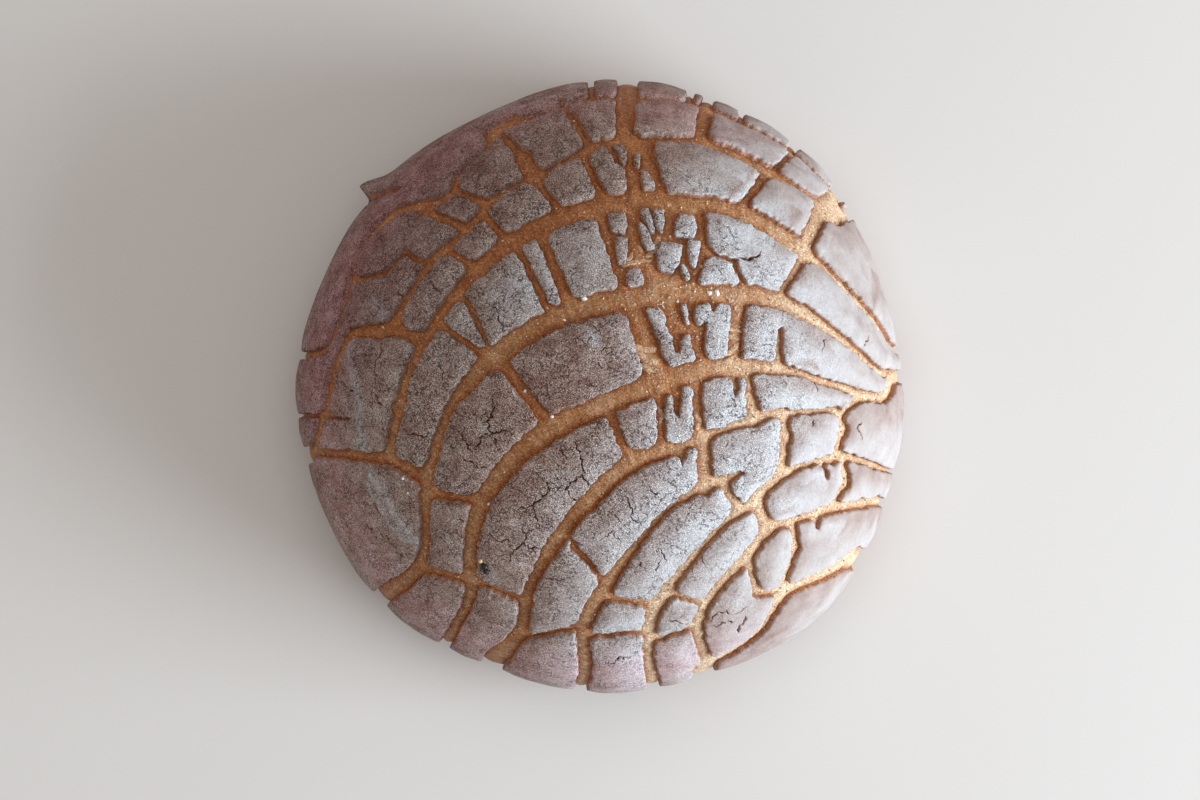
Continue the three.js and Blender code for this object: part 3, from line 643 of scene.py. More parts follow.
# --- Cracks and scuffs, in millimetres from the axis as seen from above ---
CRACKS = """0.42 1.0 -13,-15.5 -11.5,-17 -10.5,-19 -11.5,-20.5 -13.5,-22 -16,-22.5
0.38 0.9 -10.5,-18.8 -7.5,-18.8 -5.5,-17 -4,-16 -3,-18 -1,-19
0.34 0.8 -5.5,-10 -4.5,-12 -3.8,-15.5 -3,-16
0.28 0.6 -8.5,-11.5 -7.3,-12.7
0.28 0.6 -7,-18.7 -6,-20.7 -5.3,-21.2
0.32 0.7 -13.3,-22 -13,-24 -12,-26 -10.5,-26 -9,-26
0.38 0.9 -15.5,-26.5 -14.5,-27.5 -15,-29 -17,-30.7 -18,-32.5
0.34 0.8 -15,-29 -14,-30 -12,-30
0.30 0.7 -21.5,-27.5 -19.5,-28.5 -17,-28.7
0.34 0.8 8,-18 9,-19.2 10.5,-19.8
0.34 0.8 4,-20.5 5,-22 5.2,-24 6,-25
0.32 0.7 1.5,-23.5 2.5,-24.5 3.3,-25.2
0.32 0.7 -0.8,-28.5 0.3,-27.5 1.5,-26.5 2.2,-28 3,-28.3
0.34 0.8 10.5,-30 11.3,-31.3 11.8,-32
0.32 0.7 11,-32 10.3,-33 9.7,-34.5
0.30 0.6 6.5,-32.5 7.2,-33.5 8.4,-34.8
0.34 0.8 17.8,-30.5 18.6,-31.7 19.2,-33
0.34 0.8 -10.5,-35.5 -9.3,-36 -8,-36
0.42 1.0 -21,-2 -20.7,-3.6 -21.2,-5.2 -22,-6 -21.6,-7.5 -21,-8.6 -23,-8.4
0.36 0.8 -21,-8.6 -19.7,-8.2 -18.6,-7.9
0.36 0.8 -27.5,-8 -26.5,-9 -26,-10 -25.2,-11.5
0.34 0.8 -23,-8.6 -23.3,-10.2 -24,-11.5
0.34 0.8 -21,-8.6 -20.3,-9.7 -20.6,-11.3
0.36 0.9 -27.5,-12.5 -26,-13.4 -24.5,-14 -23.8,-15 -22,-15
0.34 0.8 -31,4.5 -30.3,3 -30.3,1 -29.6,-0.2
0.45 0.8 -37.2,-8.7 -36,-8.5 -34.5,-9 -33,-9.3
0.36 0.8 -20.4,16 -20,14.5 -19.8,13 -19.2,11.7 -18.8,10.7
0.28 0.5 -17.8,17 -17.2,18 -16.3,19
0.40 0.9 -48,7.6 -47.3,6 -46.8,4.3
0.42 0.9 -41.8,8.4 -42,6.5 -42.4,5.8 -43.2,5 -43,3.2 -43,1.3
0.45 0.9 -49.3,1.3 -48.2,0 -47,-0.4
0.45 0.9 -43.3,-0.7 -42.7,-2 -41.8,-3
0.34 0.7 -49.5,-9.3 -49.7,-10.8
0.34 0.7 -32.7,20 -32,19 -31,18.3
0.36 0.8 -38.6,18.8 -38,17.3
0.36 0.8 -35.3,24 -35.7,22.3 -35.9,20.3
0.5 0.9 -43,-22 -42.2,-23.4
0.5 0.9 -44.8,-25.5 -44,-26.8 -43.7,-27.4
0.5 0.9 -41,-27.7 -40,-29 -39.3,-29.8
0.4 0.8 -38.8,-30.8 -38,-31.7 -37.4,-32
0.30 0.6 -11,6.8 -10.8,5.8
0.30 0.6 -0.4,7 0.6,7.8 1.5,7.8
0.30 0.6 -1,5 -0.7,4.2
0.60 1.1 25,24.9 26.8,24.3 28.3,24.7 29.6,26
0.32 0.6 39.7,2 40,0.6 40.2,-0.6
0.34 0.6 48.3,-6 48,-7.5 48.8,-9.6
0.36 0.6 39.5,-6 39.3,-6.9
0.34 0.6 49,8 50,9.8
0.30 0.6 41.5,9.3 41,7.4
0.36 0.8 -0.2,-52 1.5,-51.5 3,-50.7 4.5,-50.7 5.5,-50.3
0.42 0.9 12,-43.7 13.5,-43.7 14.6,-44.1
0.45 0.8 20,-44 20.5,-42.6 21.6,-41.8 23,-42 24.1,-42.6
0.42 0.8 20.5,-44.7 21.6,-44.9 22.8,-44.1 24.5,-43.7
0.65 1.2 26.4,-42.7 25.9,-44.2 25.5,-45.8
0.30 0.6 24.2,-42.4 25.8,-41.6 26.8,-41
0.60 0.4 -27.4,-24.7 -26.8,-24.9 -26.3,-25.2
0.50 0.4 -27.2,-28.0 -26.6,-28.4
0.50 0.4 -30.9,-27.9 -30.3,-28.3"""  # width, depth, the line's x,y points
CUT_DEPTH = 2.9
CUTS = [
    # (width, points): splits down to the dough
    (1.2, "-37.8,25.6 -35.4,24.6 -33.2,23.9"),
    (1.1, "-5.6,-29 -7.2,-27.9"),
    (1.0, "-6.6,52.3 -8.2,54.8"),
]
SCUFFS = [
    # (width, height, whiteness, points): pale folded ridges
    (0.7, 0.28, 0.8, "-44,-16.3 -41.6,-19.2 -39.7,-23 -38.4,-25.3 -36.5,-28 -35,-28.7"),
    (0.5, 0.2, 0.6, "-44.5,-17.7 -42,-22 -40.5,-25 -37.5,-28.5"),
    (1.2, 0.12, 0.55, "-48,8.5 -47.5,4 -46.5,0 -46,-5 -45.5,-10 -45,-12"),
    (0.6, 0.15, 0.5, "37,20.7 38.4,19.2 39.5,17.5"),
    (1.0, 0.1, 0.5, "-43,16.5 -41.8,14.6 -40.6,13.2"),
    (1.1, 0.05, 0.8, "-2.8,10.2 -2,9.4 -1.4,8.8"),
    (0.9, 0.05, 0.9, "7.8,14.4 8.8,14 9.6,13.2"),
    (2.4, 0.05, 0.8, "21,30 23,29 25,27.6 27.5,27"),
]
DRAWN_STEP = 0.4
WAVER_LUMP, WAVER = 1.2, 0.2


def skin_line(points, spacing, jag=0.15):
    """A line drawn from above, carried to the skin with a jagged waver."""
    line = np.array([pair.split(",") for pair in points.split()], float)
    line = resample(line, DRAWN_STEP)
    flat = flattened(line)
    line = line + WAVER * np.stack([noise(flat, WAVER_LUMP, 51), noise(flat, WAVER_LUMP, 52)], -1)
    line[1:-1] += rng.uniform(-jag, jag, (len(line) - 2, 2))
    return np.array([plan_to_skin(x, y) for x, y in resample(line, spacing)])


def crack_widths(width, line, seed):
    """A crack's width along its line: uneven, and tapered to both ends."""
    along = np.linspace(0, 1, len(line))
    taper = quarter_round(np.minimum(along, 1 - along) * 2 / 0.7)
    uneven = 1 + 0.9 * noise(flattened(line), 0.5, seed)
    return 0.8 * width * np.clip(uneven, 0.4, 1.8) * (0.35 + 0.65 * taper)


CRACK_LINES = []
for number, row in enumerate(CRACKS.splitlines()):
    width, depth, points = row.split(maxsplit=2)
    line = skin_line(points, 0.12, 0.3)
    CRACK_LINES.append((crack_widths(float(width), line, 300 + number), float(depth), line))
for width, points in CUTS:
    line = skin_line(points, 0.2)
    CRACK_LINES.append((np.full(len(line), width), CUT_DEPTH, line))
SCUFF_LINES = [(*look, skin_line(points, 0.3, 0.05)) for *look, points in SCUFFS]

# The corner of crust that curled off the side.
CURL_TIP = plan_to_skin(-47.5, 38.8)
CURL_LIFT = 3.2
CURL_REACH = 6.5
CURL_HINGE = 0.8


def curl(skin):
    """How far the curled corner lifts the crust."""
    away = np.linalg.norm(skin - CURL_TIP, axis=1) / CURL_REACH
    along = np.array([CURL_TIP[1], -CURL_TIP[0]]) / np.linalg.norm(CURL_TIP)
    above = ((skin - CURL_TIP) @ along) / CURL_HINGE
    return CURL_LIFT * np.exp(-(away**2)) * smoothstep(above, -1, 1)


# --- Plates ---
EDGE_HEIGHT = 1.62
BEVEL_GAIN = 0.20  # rise of the crust over its rounded edge
CAMBER_GAIN = 0.32  # and from there to the middle of a plate
BEVEL = 0.2
CAMBER = 4.5
LIT_FROSTED_SIDE = np.array([0.82, -0.57])  # the side of each plate that faces the light, painted whiter as lit as well as sugared
LIT_FROSTED_QUARTER = (0.93, -0.37, 0)  # and the side of the bun that faces the light, painted whiter the same way
# The quarters away from the light, painted darker as shade; the second is also painted pinker.
SHADED_QUARTER = (-0.6, 0.8, 0)
PINK_SHADE_QUARTER = (-0.85, 0.52, 0)
DUST_BAND = ((0.82, 0.58, 0), 3.2, 16), ((-0.58, 0.82, 0), 23.6, 7.5)  # (direction, centre, reach)
UNDULATION = (3.4, 0.06)  # (lump, height) on the plates' tops, mm
ROUGHNESS = (1.1, 0.035)
CRUMBLE = (0.8, 0.25)  # and what their edges lost
TOP_STEP = 0.44
EDGE_ROWS = (0.13, 0.32, 0.58)
WALL_ROWS = ((1.3, 0.04), (0.95, 0.02), (0.6, 0.06), (0.2, 0.05), (-0.5, 0.0))  # (height, outward)


def crack_band(line, widths, scale):
    """Extra points beside a crack, so that the mesh can follow it."""
    along = np.gradient(line, axis=0)
    across = unit(np.stack([along[:, 1], -along[:, 0]], -1))
    rows = (-1.8, -1, -0.5, 0, 0.5, 1, 1.8)
    return np.vstack([line + across * (row * widths / 2 / scale)[:, None] for row in rows])


DUSTINGS = [
    # (centre, reach, gain): where more sugar lies, from the axis seen from above
    ((23, 33), (9, 11), 0.5), ((14, 20), (9, 12), 0.6),
    ((2, -47), (8, 6), 0.35), ((24, -3), (7, 4), 0.2),
]
DARKER_CENTRE = (-6, 2)  # where the plates are made darker on top
DARKER_REACH = (12, 9)


def rim_looks(skin):
    """Painted shade, darker and pinker, on the crust's side away from the light, and painted pink
    light on the shoulder of its left half.
    """
    local = from_skin(skin) - AXIS
    shoulder = smoothstep(local[:, 2], 12, 32)
    painted_pink_shade = smoothstep(local @ PINK_SHADE_QUARTER, 30, 50) * (0.35 + 0.65 * shoulder)
    rim = smoothstep(polar(local)[0], 45, 54)
    rim = rim * (1 - smoothstep(local[:, 0], 5, 40)) * shoulder
    return {"painted_pink_shade": painted_pink_shade, "rim": rim}


def spot(local, centre, reach):
    """A soft spot, 1 in its middle, at a place seen from above."""
    return np.exp(-(((local[:, :2] - centre) / reach) ** 2).sum(1))


def plate_top(skin, edge_distance, side, seed):
    """Height of the top of the crust, and how sunk, white, toned, cracked and grainy it is; its
    whiteness and tone hold painted light and shade, and its hollows painted shade.
    """
    world = from_skin(skin)
    height = EDGE_HEIGHT + BEVEL_GAIN * quarter_round(edge_distance / BEVEL)
    height += CAMBER_GAIN * np.sin(math.pi / 2 * np.clip(edge_distance / CAMBER, 0, 1))
    undulation = noise(world, UNDULATION[0], seed + 3, 2)
    height += UNDULATION[1] * undulation * smoothstep(edge_distance, 0, 1.5)
    height += ROUGHNESS[1] * noise(world, ROUGHNESS[0], seed + 5, 3)
    crumble = noise(world, CRUMBLE[0], seed + 7, 2)
    edge_wear = 1 - smoothstep(edge_distance, 0.1, 0.7)
    height -= CRUMBLE[1] * edge_wear * smoothstep(crumble, 0.05, 0.7)
    # Darker at crumbled edges, which is real wear; painted shade in the cracks is added below.
    wear_and_painted_shade = 0.12 * edge_wear * smoothstep(crumble, 0.1, 0.6)
    crack = np.zeros(len(skin))
    bloom_and_painted_light = np.zeros(len(skin))
    local = world - AXIS
    # Tone: random, with painted light and shade: lighter towards each plate's lit side and the
    # bun's left, darker on the quarter away from the light and over a patch near the middle.
    tone = side + 0.25 * noise(world, 3, 35, 2) - 1.3 * smoothstep(local @ SHADED_QUARTER, 20, 50)
    tone += 0.6 * smoothstep(-local[:, 0], 15, 40)
    tone -= 1.6 * spot(local, DARKER_CENTRE, DARKER_REACH)
    scale = skin_scale(skin.mean(0))
    reach = np.linalg.norm(skin - skin.mean(0), axis=1).max() + 3
    for widths, depth, line in CRACK_LINES:
        if np.linalg.norm(line.mean(0) - skin.mean(0)) < reach:
            away, nearest = distance_to_line(skin, line)
            half = widths[nearest] / 2
            cut = np.clip((1 - away * scale / half) * np.maximum(1, half / 0.3), 0, 1)
            height -= depth * cut
            # Painted shade: darker down in each crack.
            shade = smoothstep(cut, 0.0, 0.8)
            wear_and_painted_shade = np.maximum(wear_and_painted_shade, 0.95 * shade)
            if depth < TOP_HEIGHT + 0.1:
                crack = np.maximum(crack, 0.9 * shade)
    for width, ridge, white, line in SCUFF_LINES:
        if np.linalg.norm(line.mean(0) - skin.mean(0)) < reach + 12:
            away = distance_to_line(skin, line)[0] * scale
            near = np.exp(-((away / width) ** 2))
            height += ridge * near
            bloom_and_painted_light = np.maximum(bloom_and_painted_light, white * near * (0.7 + 0.5 * noise(world, 0.7, 31, 2)))
    # Painted light with real sugar: whiter on the quarter that faces the light, higher up, along a
    # band, on dusted patches and on each plate's lit side.
    frost_and_light = 0.95 * smoothstep(local @ LIT_FROSTED_QUARTER, -10, 28)
    frost_and_light *= 0.55 + 0.45 * smoothstep(world[:, 2], 33, 50)
    along, across = (((local @ way - middle) / size) ** 2 for way, middle, size in DUST_BAND)
    frost_and_light += 0.65 * np.exp(-(along + across))
    for centre, size, gain in DUSTINGS:
        frost_and_light += gain * spot(local, centre, size)
    frost_and_light *= 0.36 + 0.64 * smoothstep(tone, -0.8, 0.5)
    frost_and_light *= 0.97 + 0.18 * noise(world, 2.6, 33, 2)
    towards_light = smoothstep(local[:, 0], -10, 40)
    away = np.hypot(local[:, 0], local[:, 1] - 4) + 4 * towards_light
    grainy = 1 - (0.2 + 0.7 * towards_light) * smoothstep(away, 28, 50)
    bloom_and_painted_light = np.maximum(bloom_and_painted_light, frost_and_light)
    looks = {"wear_and_painted_shade": wear_and_painted_shade, "bloom_and_painted_light": bloom_and_painted_light, "tone": tone, "crack": crack, "grainy": grainy}
    return height, looks | rim_looks(skin)


def clear_of(points, line, reach):
    """The points that lie further from a line than its reach there."""
    away, nearest = distance_to_line(points, line)
    return points[away > reach[nearest]]


def across_plate(points, ring, facing):
    """Where points lie across a plate: 1 at the edge of its lit, sugared side and -1 at the
    opposite one.
    """
    lit_frosted = distance_to_line(points, ring[facing > 0.35], True)[0]
    bare = distance_to_line(points, ring[facing < -0.35], True)[0]
    return (bare - lit_frosted) / np.maximum(bare + lit_frosted, 1e-6)


def closed_walls(above, first_below):
    """Quads between a closed row of vertices and the next row, which starts at a number."""
    below = np.arange(first_below, first_below + len(above))
    return np.stack([above, below, np.roll(below, -1), np.roll(above, -1)], -1), below


def plate_object(name, ring, seed):
    """One plate: a cambered top, crumbly walls and a sunk, closed underside."""
    scale = float(skin_scale(ring.mean(0)))
    normals = ring_normals(ring)
    inner = hex_points(ring.min(0), ring.max(0), TOP_STEP / scale)
    inner = well_inside(inner, ring, (EDGE_ROWS[-1] + 0.22) / scale)
    rows = np.vstack([ring - normals * (row / scale) for row in EDGE_ROWS])
    rows = well_inside(rows, ring, 0.09 / scale)
    bands = []
    for widths, _, line in CRACK_LINES:
        within = inside(line, ring)
        if within.sum() > 3:
            line, widths = line[within], widths[within]
            bands.append(well_inside(crack_band(line, widths, scale), ring, 0.12 / scale))
            inner, rows = (clear_of(kept, line, widths * 1.1 / scale) for kept in (inner, rows))
    count = len(ring)
    used, faces = triangulate(np.vstack([ring, rows, inner, *bands]), count)
    edge_distance = distance_to_line(used, ring, True)[0] * scale
    edge_distance[:count] = 0
    facing = normals @ LIT_FROSTED_SIDE
    side = across_plate(used, ring, facing)
    height, looks = plate_top(used, edge_distance, side, seed)
    lit_frosted = np.maximum(facing, 0)
    lift = curl(used)
    vertices = [from_skin(used, height + lift)]
    walls = []
    total = len(used)
    above = np.arange(count)
    for level, outward in WALL_ROWS:
        wall_skin = ring + normals * (outward / scale)
        world = from_skin(wall_skin, level)
        wall_skin = wall_skin + normals * (0.07 * noise(world, 0.55, seed + 11, 2) / scale)[:, None]
        level_here = np.minimum(level, height[:count] - 0.1)
        vertices.append(from_skin(wall_skin, level_here + lift[:count]))
        # The walls: painted shade, more on the side away from the light and lower down; painted
        # light and a lighter tone on the lit side.
        wall_looks = {
            "wear_and_painted_shade": 0.85 - 0.45 * lit_frosted - 0.4 * smoothstep(level_here, 0.5, 1.35),
            "bloom_and_painted_light": 0.2 * lit_frosted, "tone": facing,
            "crack": np.zeros(count), "grainy": np.full(count, 0.7),
        } | rim_looks(wall_skin)
        looks = {key: np.concatenate([values, wall_looks[key]]) for key, values in looks.items()}
        quads, above = closed_walls(above, total)
        walls.append(quads)
        total += count
    polygons = [*faces, *np.vstack(walls), above[::-1]]
    return mesh_object(name, np.vstack(vertices), polygons, looks, CRUST)


for index, (node, ring) in enumerate(plates.items()):
    plate = plate_object(node.replace("plate", "plate_baked"), ring, 7 * index)
    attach(plate, "root")
    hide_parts(node)


parts = [plate_object(f"shard_{i}", ring, 900 + i) for i, ring in enumerate(shards)]
shard_piece = parts[0]
with bpy.context.temp_override(active_object=shard_piece, selected_editable_objects=parts):
    bpy.ops.object.join()
shard_piece.name = shard_piece.data.name = "crust_shards"
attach(shard_piece, "root")
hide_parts("bun")

# --- Dough ---
BULGE = 0.55
FOOT_HEIGHT = 0.55  # of the dough at the plates' feet
CONTACT_DIP = 0.1
FIBRES_AROUND_HINGE = 60  # to a radian
FIBRE_LENGTH = 4
DOUGH_ZONES = ((0, 62, 0.40), (62, 92, 0.55), (92, 200, 0.85))  # (from, to, step) of skin, mm
UNDER_CRUST_STEP = 3.0
RIM_SIDES = 640
BASE_ROUNDING = 1.2


def all_ring_points():
    """A search tree over every plate's edge, how far each edge point faces the lit, sugared side,
    and how far it faces around the hinge, as both sides of a cross-crack do."""
    edges = np.vstack(ALL_RINGS)
    normals = np.vstack([ring_normals(ring) for ring in ALL_RINGS])
    outward = unit(edges - HINGE)
    across = np.abs(normals[:, 0] * outward[:, 1] - normals[:, 1] * outward[:, 0])
    return line_tree(edges), normals @ LIT_FROSTED_SIDE, across


def dough_plan(tree):
    """Skin points for the dough: fine where it shows and coarse under the plates."""
    edge = DOUGH_RADIUS * (BASE_ANGLE - BASE_ROUNDING / DOUGH_RADIUS)
    turn = np.linspace(0, 2 * math.pi, RIM_SIDES, endpoint=False)
    rim = np.stack([np.cos(turn), np.sin(turn)], -1) * edge
    shown = []
    for low, high, step in DOUGH_ZONES:
        points = hex_points((-edge, -edge), (edge, edge), step)
        away = polar(points)[0]
        shown.append(points[(away >= low) & (away < high) & (away < edge - 0.5)])
    shown = np.vstack(shown)
    shown = shown[~under_crust(shown) | (find_nearest(tree, shown)[0] < 0.5)]
    coarse = hex_points((-edge, -edge), (edge, edge), UNDER_CRUST_STEP)
    coarse = coarse[under_crust(coarse) & (find_nearest(tree, coarse)[0] > 1.5)]
    return np.vstack([rim, shown, coarse])


def dough_relief(skin, tree, edge_facing, across):
    """Height of the dough, its darkening beside the crust, partly painted shade, and its paleness,
    partly painted light.
    """
    distance, nearest = find_nearest(tree, skin)
    distance = distance * skin_scale(skin)
    distance[under_crust(skin)] = 0
    facing = edge_facing[nearest]
    world = from_skin(skin)
    local = world - AXIS
    from_hinge, around = polar(local[:, :2] - HINGE)
    around *= FIBRES_AROUND_HINGE
    stretched = np.stack([from_hinge / FIBRE_LENGTH, around, world[:, 2] / FIBRE_LENGTH], -1)
    fibres = noise(stretched, 0.9, 71, 2)
    open_dough = 1 - np.exp(-distance / 0.9)
    height = FOOT_HEIGHT + BULGE * open_dough - CONTACT_DIP * np.exp(-((distance / 0.25) ** 2))
    height += 0.15 * fibres * open_dough + 0.06 * noise(world, 1.0, 73, 3)
    side = smoothstep(world[:, 2], 18, 8)
    height = height * (1 - 0.8 * side)
    # Painted shade with real browning: darker beside the plates, more by edges that face away from
    # the light and over the quarter away from it, less towards the light.
    contact_browning_and_shade = 1 - smoothstep(distance, 0.15, 1.4 + 0.5 * noise(world, 2.2, 75, 2))
    shaded = smoothstep(local @ SHADED_QUARTER, 15, 33)
    contact_browning_and_shade = np.maximum(contact_browning_and_shade * (0.75 - 0.6 * facing), 0.85 * shaded)
    between = smoothstep(across[nearest], 0.55, 0.85) * (1 - smoothstep(distance, 0.9, 1.8))
    contact_browning_and_shade = np.maximum(contact_browning_and_shade, 0.9 * between)
    # Painted light with real stretching: paler towards the light and beside edges that face it.
    lit = smoothstep(local[:, 0] - 0.45 * local[:, 1], 10, 33)
    stretch_and_painted_light = 0.02 + 0.22 * fibres + 0.75 * lit**1.2 + 0.2 * noise(world, 5, 77, 2)
    stretch_and_painted_light += (0.12 + 0.45 * lit) * np.clip(facing, 0, 1) * np.exp(-distance)
    stretch_and_painted_light = np.clip(stretch_and_painted_light * (0.35 + 0.65 * open_dough) * (1 - side) * (1 - shaded), 0, 1)
    return height, contact_browning_and_shade * (1 - 0.65 * lit), stretch_and_painted_light


def dough_object():
    """The whole bun of dough, down to its flat underside."""
    tree, edge_facing, across = all_ring_points()
    used, faces = triangulate(dough_plan(tree), RIM_SIDES)
    height, contact_browning_and_shade, stretch_and_painted_light = dough_relief(used, tree, edge_facing, across)
    height[:RIM_SIDES] = 0
    vertices = [from_skin(used, height)]
    heading = polar(used[:RIM_SIDES])[1]
    sides = np.ones(RIM_SIDES)
    base = dome_points(BASE_ANGLE * sides, heading, -BASE_ROUNDING * sides)
    base[:, 2] = 0
    rows = []
    edge_row = vertices[0][:RIM_SIDES]
    for share in (0.35, 0.7, 1.0):
        turn = share * math.pi / 2
        inward = 1 - math.cos(turn)
        rows.append(edge_row + (base - edge_row) * [inward, inward, math.sin(turn)])
    for share in (0.97, 0.9, 0.75, 0.5, 0.25):
        row = AXIS + (base - AXIS) * share
        row[:, 2] = 0.12 * np.abs(noise(row, 2.5, 81, 2)) * (share < 0.95)
        rows.append(row)
    faces = [*faces]
    above = np.arange(RIM_SIDES)
    total = len(used)
    for row in rows:
        vertices.append(row)
        quads, above = closed_walls(above, total)
        faces += [*quads]
        total += RIM_SIDES
    faces.append(above[::-1])
    extra = len(rows) * RIM_SIDES
    attributes = {
        "contact_browning_and_shade": np.concatenate([contact_browning_and_shade, np.full(extra, 0.35)]),
        "stretch_and_painted_light": np.concatenate([stretch_and_painted_light, np.zeros(extra)]),
    }
    return mesh_object("dough", np.vstack(vertices), faces, attributes, DOUGH), used, height, tree


dough, dough_skin, dough_height, ring_tree = dough_object()
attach(dough, "root")
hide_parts("bun")

# --- Grains, crumbs and specks ---
GOLDEN = (1 + math.sqrt(5)) / 2  # a grain starts as an icosahedron, of three golden rectangles
RECTANGLE = np.array([(-1, GOLDEN, 0), (1, GOLDEN, 0), (-1, -GOLDEN, 0), (1, -GOLDEN, 0)])
GRAIN_POINTS = np.vstack([np.roll(RECTANGLE, k, 1) for k in range(3)]) / math.hypot(1, GOLDEN)
GRAIN_FACES = np.array([
    (0, 11, 5), (0, 5, 1), (0, 1, 7), (0, 7, 10), (0, 10, 11), (1, 5, 9), (5, 11, 4), (11, 10, 2),
    (10, 7, 6), (7, 1, 8), (3, 9, 4), (3, 4, 2), (3, 2, 6), (3, 6, 8), (3, 8, 9), (4, 9, 5),
    (2, 4, 11), (6, 2, 10), (8, 6, 7), (9, 8, 1),
])


def grains(name, centres, radii, material, squash=0.35, smooth=False):
    """Small uneven lumps, joined in one mesh."""
    vertices = []
    faces = []
    for index, (centre, radius) in enumerate(zip(centres, radii)):
        turn, _ = np.linalg.qr(rng.normal(size=(3, 3)))
        shape = GRAIN_POINTS * (1 + rng.uniform(-squash, squash, (12, 1)))
        shape = shape * (1 + rng.uniform(-squash, squash, 3))
        if np.linalg.det(turn) < 0:
            turn[:, 0] *= -1
        vertices.append(shape @ turn.T * radius + centre)
        faces.append(GRAIN_FACES + 12 * index)
    piece = mesh_object(name, np.vstack(vertices), np.vstack(faces), {}, material, smooth)
    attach(piece, "root")
    return piece


def scattered(count, radius_low, radius_high, weight, sink=0.3):
    """Places and sizes of grains lying on the open dough."""
    chance = weight / weight.sum()
    chosen = rng.choice(len(dough_skin), count, replace=False, p=chance)
    radius = rng.uniform(radius_low, radius_high, count)
    centres = from_skin(dough_skin[chosen], dough_height[chosen] + radius * (1 - sink))
    return centres, radius


SUGARY_CENTRE = (18, 12)  # where the loose grains lie thickest
SUGARY_REACH = (14, 13)

dough_world = from_skin(dough_skin, dough_height)
open_weight = smoothstep(find_nearest(ring_tree, dough_skin)[0], 0.3, 0.8)
open_weight[under_crust(dough_skin)] = 0
seen_above = smoothstep(dough_world[:, 2], 20, 30)
sugary = spot(dough_world - AXIS, SUGARY_CENTRE, SUGARY_REACH)
grain_weight = open_weight * seen_above * (0.12 + 2.2 * sugary) + 1e-9
places, radii = scattered(420, 0.07, 0.19, grain_weight)
sugar = grains("sugar_grains", places, radii, SUGAR)
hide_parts("bun")
places, radii = scattered(520, 0.08, 0.22, open_weight * seen_above + 1e-9)
crumbs = grains("crust_crumbs", places, radii, CRUMB)
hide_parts("bun")


STRANDS = [
    # (radius, points): fibres of dough pulled across the gaps
    (0.26, "3.4,23.1 5,23.9 7.2,24.2 9.4,24.3"),
    (0.22, "4.2,24.3 4.9,24.9 5.6,26.2"),
    (0.30, "7.9,24.9 8.8,25.6 9.6,26.3 11.5,27.3"),
    (0.22, "6.3,27.6 7,26.6 7.3,25.8"),
    (0.20, "5.4,25 5.9,26 6,27.4"),
    (0.26, "10.2,29.3 10.3,28.2 9.6,27.3"),
    (0.20, "18.3,23.1 18.9,23.5"),
    (0.36, "5.6,8.6 7.2,7.6 8.6,7.4 10,7.8"),
    (0.44, "6.2,7.2 8,5.6 9.6,5.2 10.8,5.4"),
    (0.40, "7.2,4.8 9,3.4 10.8,3.2"),
    (0.22, "23.3,12.4 24.4,11.4 26.2,10.8"),
    (0.30, "23.2,9.8 24.4,9.8 25.8,9.2"),
    (0.30, "22.8,6.2 24,7 25.6,8.6"),
    (0.28, "22,4 23.2,5 25,6.6"),
    (0.22, "10.2,-3.4 10.9,-5 10.7,-6.8"),
    (0.26, "17.3,-4.6 18.2,-6 17.6,-8"),
    (0.22, "26.4,-1.6 27.4,-0.8 28.2,-1.8"),
]
STRAND_SIDES = 7
STRAND_RISE = 0.05
STRAND_WIDTH = 1.9  # radii, across and upwards
STRAND_THICKNESS = 0.6


def strands(name, lines, material):
    """Thin tapered tubes that lie on the dough, joined in one mesh."""
    vertices = []
    faces = []
    count = 0
    turn = np.arange(STRAND_SIDES) / STRAND_SIDES * 2 * math.pi
    for radius, points in lines:
        line = skin_line(points, 0.25, 0.1)
        height = 0.15 * noise(np.column_stack([line, line[:, 0]]), 1.5, 91)
        height += FOOT_HEIGHT + BULGE * 0.55 + STRAND_RISE
        middle = from_skin(line, height)
        up = from_skin(line, height + 1) - middle
        along = np.gradient(middle, axis=0)
        across = unit(np.cross(up, along))
        share = np.linspace(0, 1, len(line))
        girth = radius * (0.15 + 0.85 * quarter_round(np.minimum(share, 1 - share) * 3))
        ring = STRAND_WIDTH * np.cos(turn)[:, None] * across[:, None]
        ring = ring + STRAND_THICKNESS * np.sin(turn)[:, None] * up[:, None]
        vertices.append((middle[:, None] + ring * girth[:, None, None]).reshape(-1, 3))
        numbers = count + np.arange(len(line) * STRAND_SIDES).reshape(-1, STRAND_SIDES)
        count += numbers.size
        after = np.roll(numbers, -1, 1)
        quads = np.stack([numbers[:-1], after[:-1], after[1:], numbers[1:]], -1)
        faces += [*quads.reshape(-1, 4), numbers[0, ::-1], numbers[-1]]
    looks = {"contact_browning_and_shade": np.full(count, 0.1), "stretch_and_painted_light": np.full(count, 0.4)}
    return mesh_object(name, np.vstack(vertices), faces, looks, material)


def lying_at(x, y, height):
    """A point at that height off the dough, at a place seen from above."""
    return from_skin(plan_to_skin(x, y)[None], np.array([height]))[0]


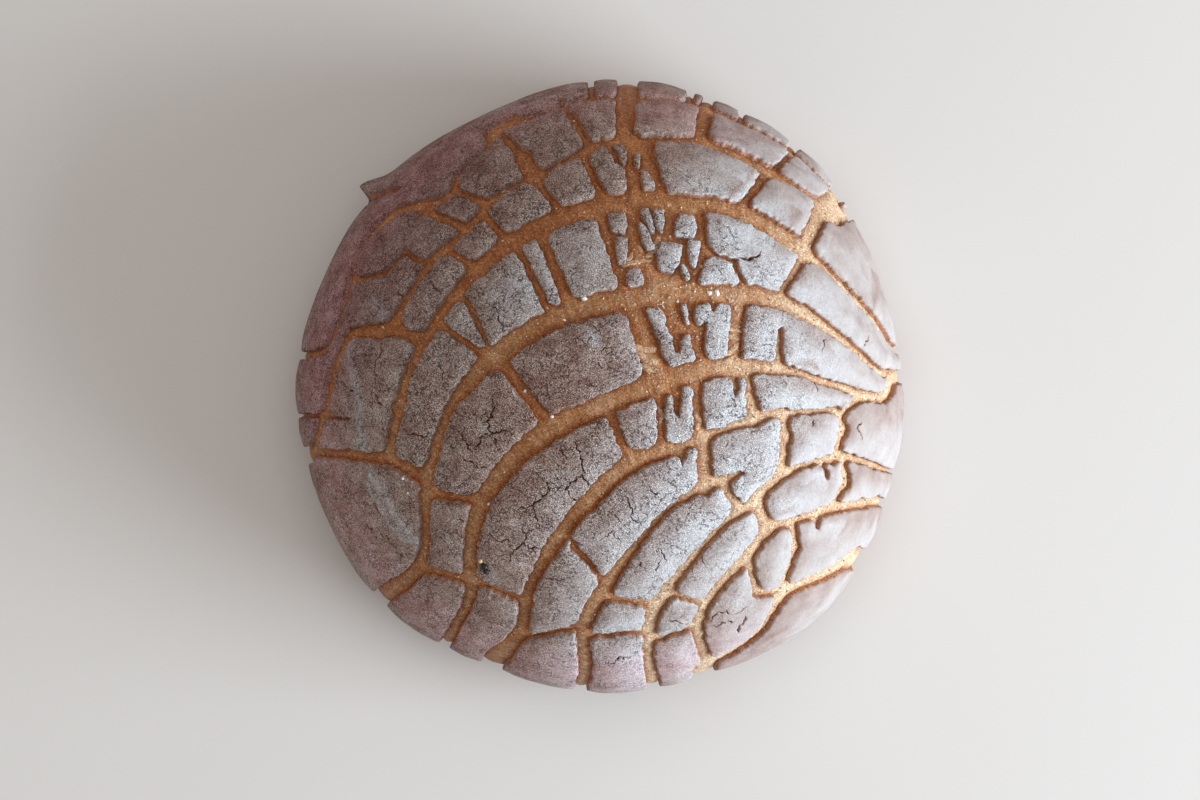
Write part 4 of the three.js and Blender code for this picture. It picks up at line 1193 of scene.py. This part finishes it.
BIG_GRAINS = [
    # (x, y, height, radius)
    (-3.8, 17.1, 0.9, 0.62), (20, 18.2, 0.9, 0.55), (21.5, 18.2, 0.9, 0.58), (24.5, 20, 0.9, 0.5),
    (-13.7, 18.4, 0.7, 0.3), (-15, -0.4, 0.9, 0.38), (-9.9, -5.3, 1.0, 0.3), (9.4, 20.4, 0.8, 0.28),
    (14, 16.6, 0.8, 0.3), (-7.5, 13, 1.2, 0.26), (-22, -22, 0.8, 0.3),
    (-37.8, -16.9, 2.0, 0.28), (-36.9, -19.6, 2.0, 0.25), (4.9, -50.2, 1.0, 0.3),
]
pulled = strands("dough_strands", STRANDS, DOUGH)
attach(pulled, "root")
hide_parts("bun")
big_places = [lying_at(*grain[:3]) for grain in BIG_GRAINS]
big = grains("sugar_lumps", big_places, [grain[3] for grain in BIG_GRAINS], LUMP, 0.2)
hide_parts("bun")
speck_places = [lying_at(-22.5, -33.4, 2.2), lying_at(-22.1, -34.2, 2.15)]
speck = grains("burnt_speck", speck_places, [0.75, 0.7], SPECK, 0.15, True)
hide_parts("bun")
yellow = grains("yellow_crumb", [lying_at(-23.2, -32.4, 2.0)], [0.6], YOLK, 0.2)
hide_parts("bun")

# --- Floor, light and camera ---
FLOOR_SIDE = 3.0
FLOOR_COLOR = (0.80, 0.79, 0.77)
LIGHTS = [
    # (name, heading and elevation in degrees, distance and size in metres, power, colour)
    ("window", -18, 15, 0.9, 0.65, 14.8, (0.86, 0.93, 1.0)),
    ("overhead", 100, 75, 1.3, 0.9, 3, (1.0, 0.95, 0.90)),
]
AIM_HEIGHT = 0.03
AMBIENT_COLOR = (1.0, 0.92, 0.88, 1)
AMBIENT_STRENGTH = 0.355

bpy.ops.mesh.primitive_plane_add(size=FLOOR_SIDE)
made = bpy.context.object
made.name = "floor"
material = Shading("pale_floor").finished({"Base Color": FLOOR_COLOR, "Roughness": 0.9})
made.data.materials.append(material)

for name, heading, elevation, distance, size, power, color in LIGHTS:
    data = bpy.data.lights.new(name, "AREA")
    data.energy = power
    data.size = size
    data.color = color
    light = bpy.data.objects.new(name, data)
    rise, turn = elevation * DEGREE, heading * DEGREE
    level = Vector((math.cos(turn), math.sin(turn), 0)) * math.cos(rise)
    direction = level + Vector((0, 0, math.sin(rise)))
    light.location = direction * distance + Vector((0, 0, AIM_HEIGHT))
    light.rotation_euler = direction.to_track_quat("Z", "Y").to_euler()
    bpy.context.scene.collection.objects.link(light)

world = bpy.data.worlds.new("studio")
bpy.context.scene.world = world
world.use_nodes = True
ambient = world.node_tree.nodes["Background"].inputs
ambient["Color"].default_value = AMBIENT_COLOR
ambient["Strength"].default_value = AMBIENT_STRENGTH
bpy.context.scene.view_settings.view_transform = "Standard"

LENS = 250.0
SENSOR = 36.0
FRAME_WIDTH = 0.228  # metres across the picture at the bun's widest ring
FRAMED_HEIGHT = 0.02
LOOK_AT = (0.00004, -0.0024)
camera = bpy.data.objects.new("camera", bpy.data.cameras.new("camera"))
camera.data.lens = LENS
camera.data.sensor_width = SENSOR
camera.data.clip_end = 20
camera.location = (*LOOK_AT, FRAME_WIDTH * LENS / SENSOR + FRAMED_HEIGHT)
bpy.context.scene.collection.objects.link(camera)
bpy.context.scene.camera = camera
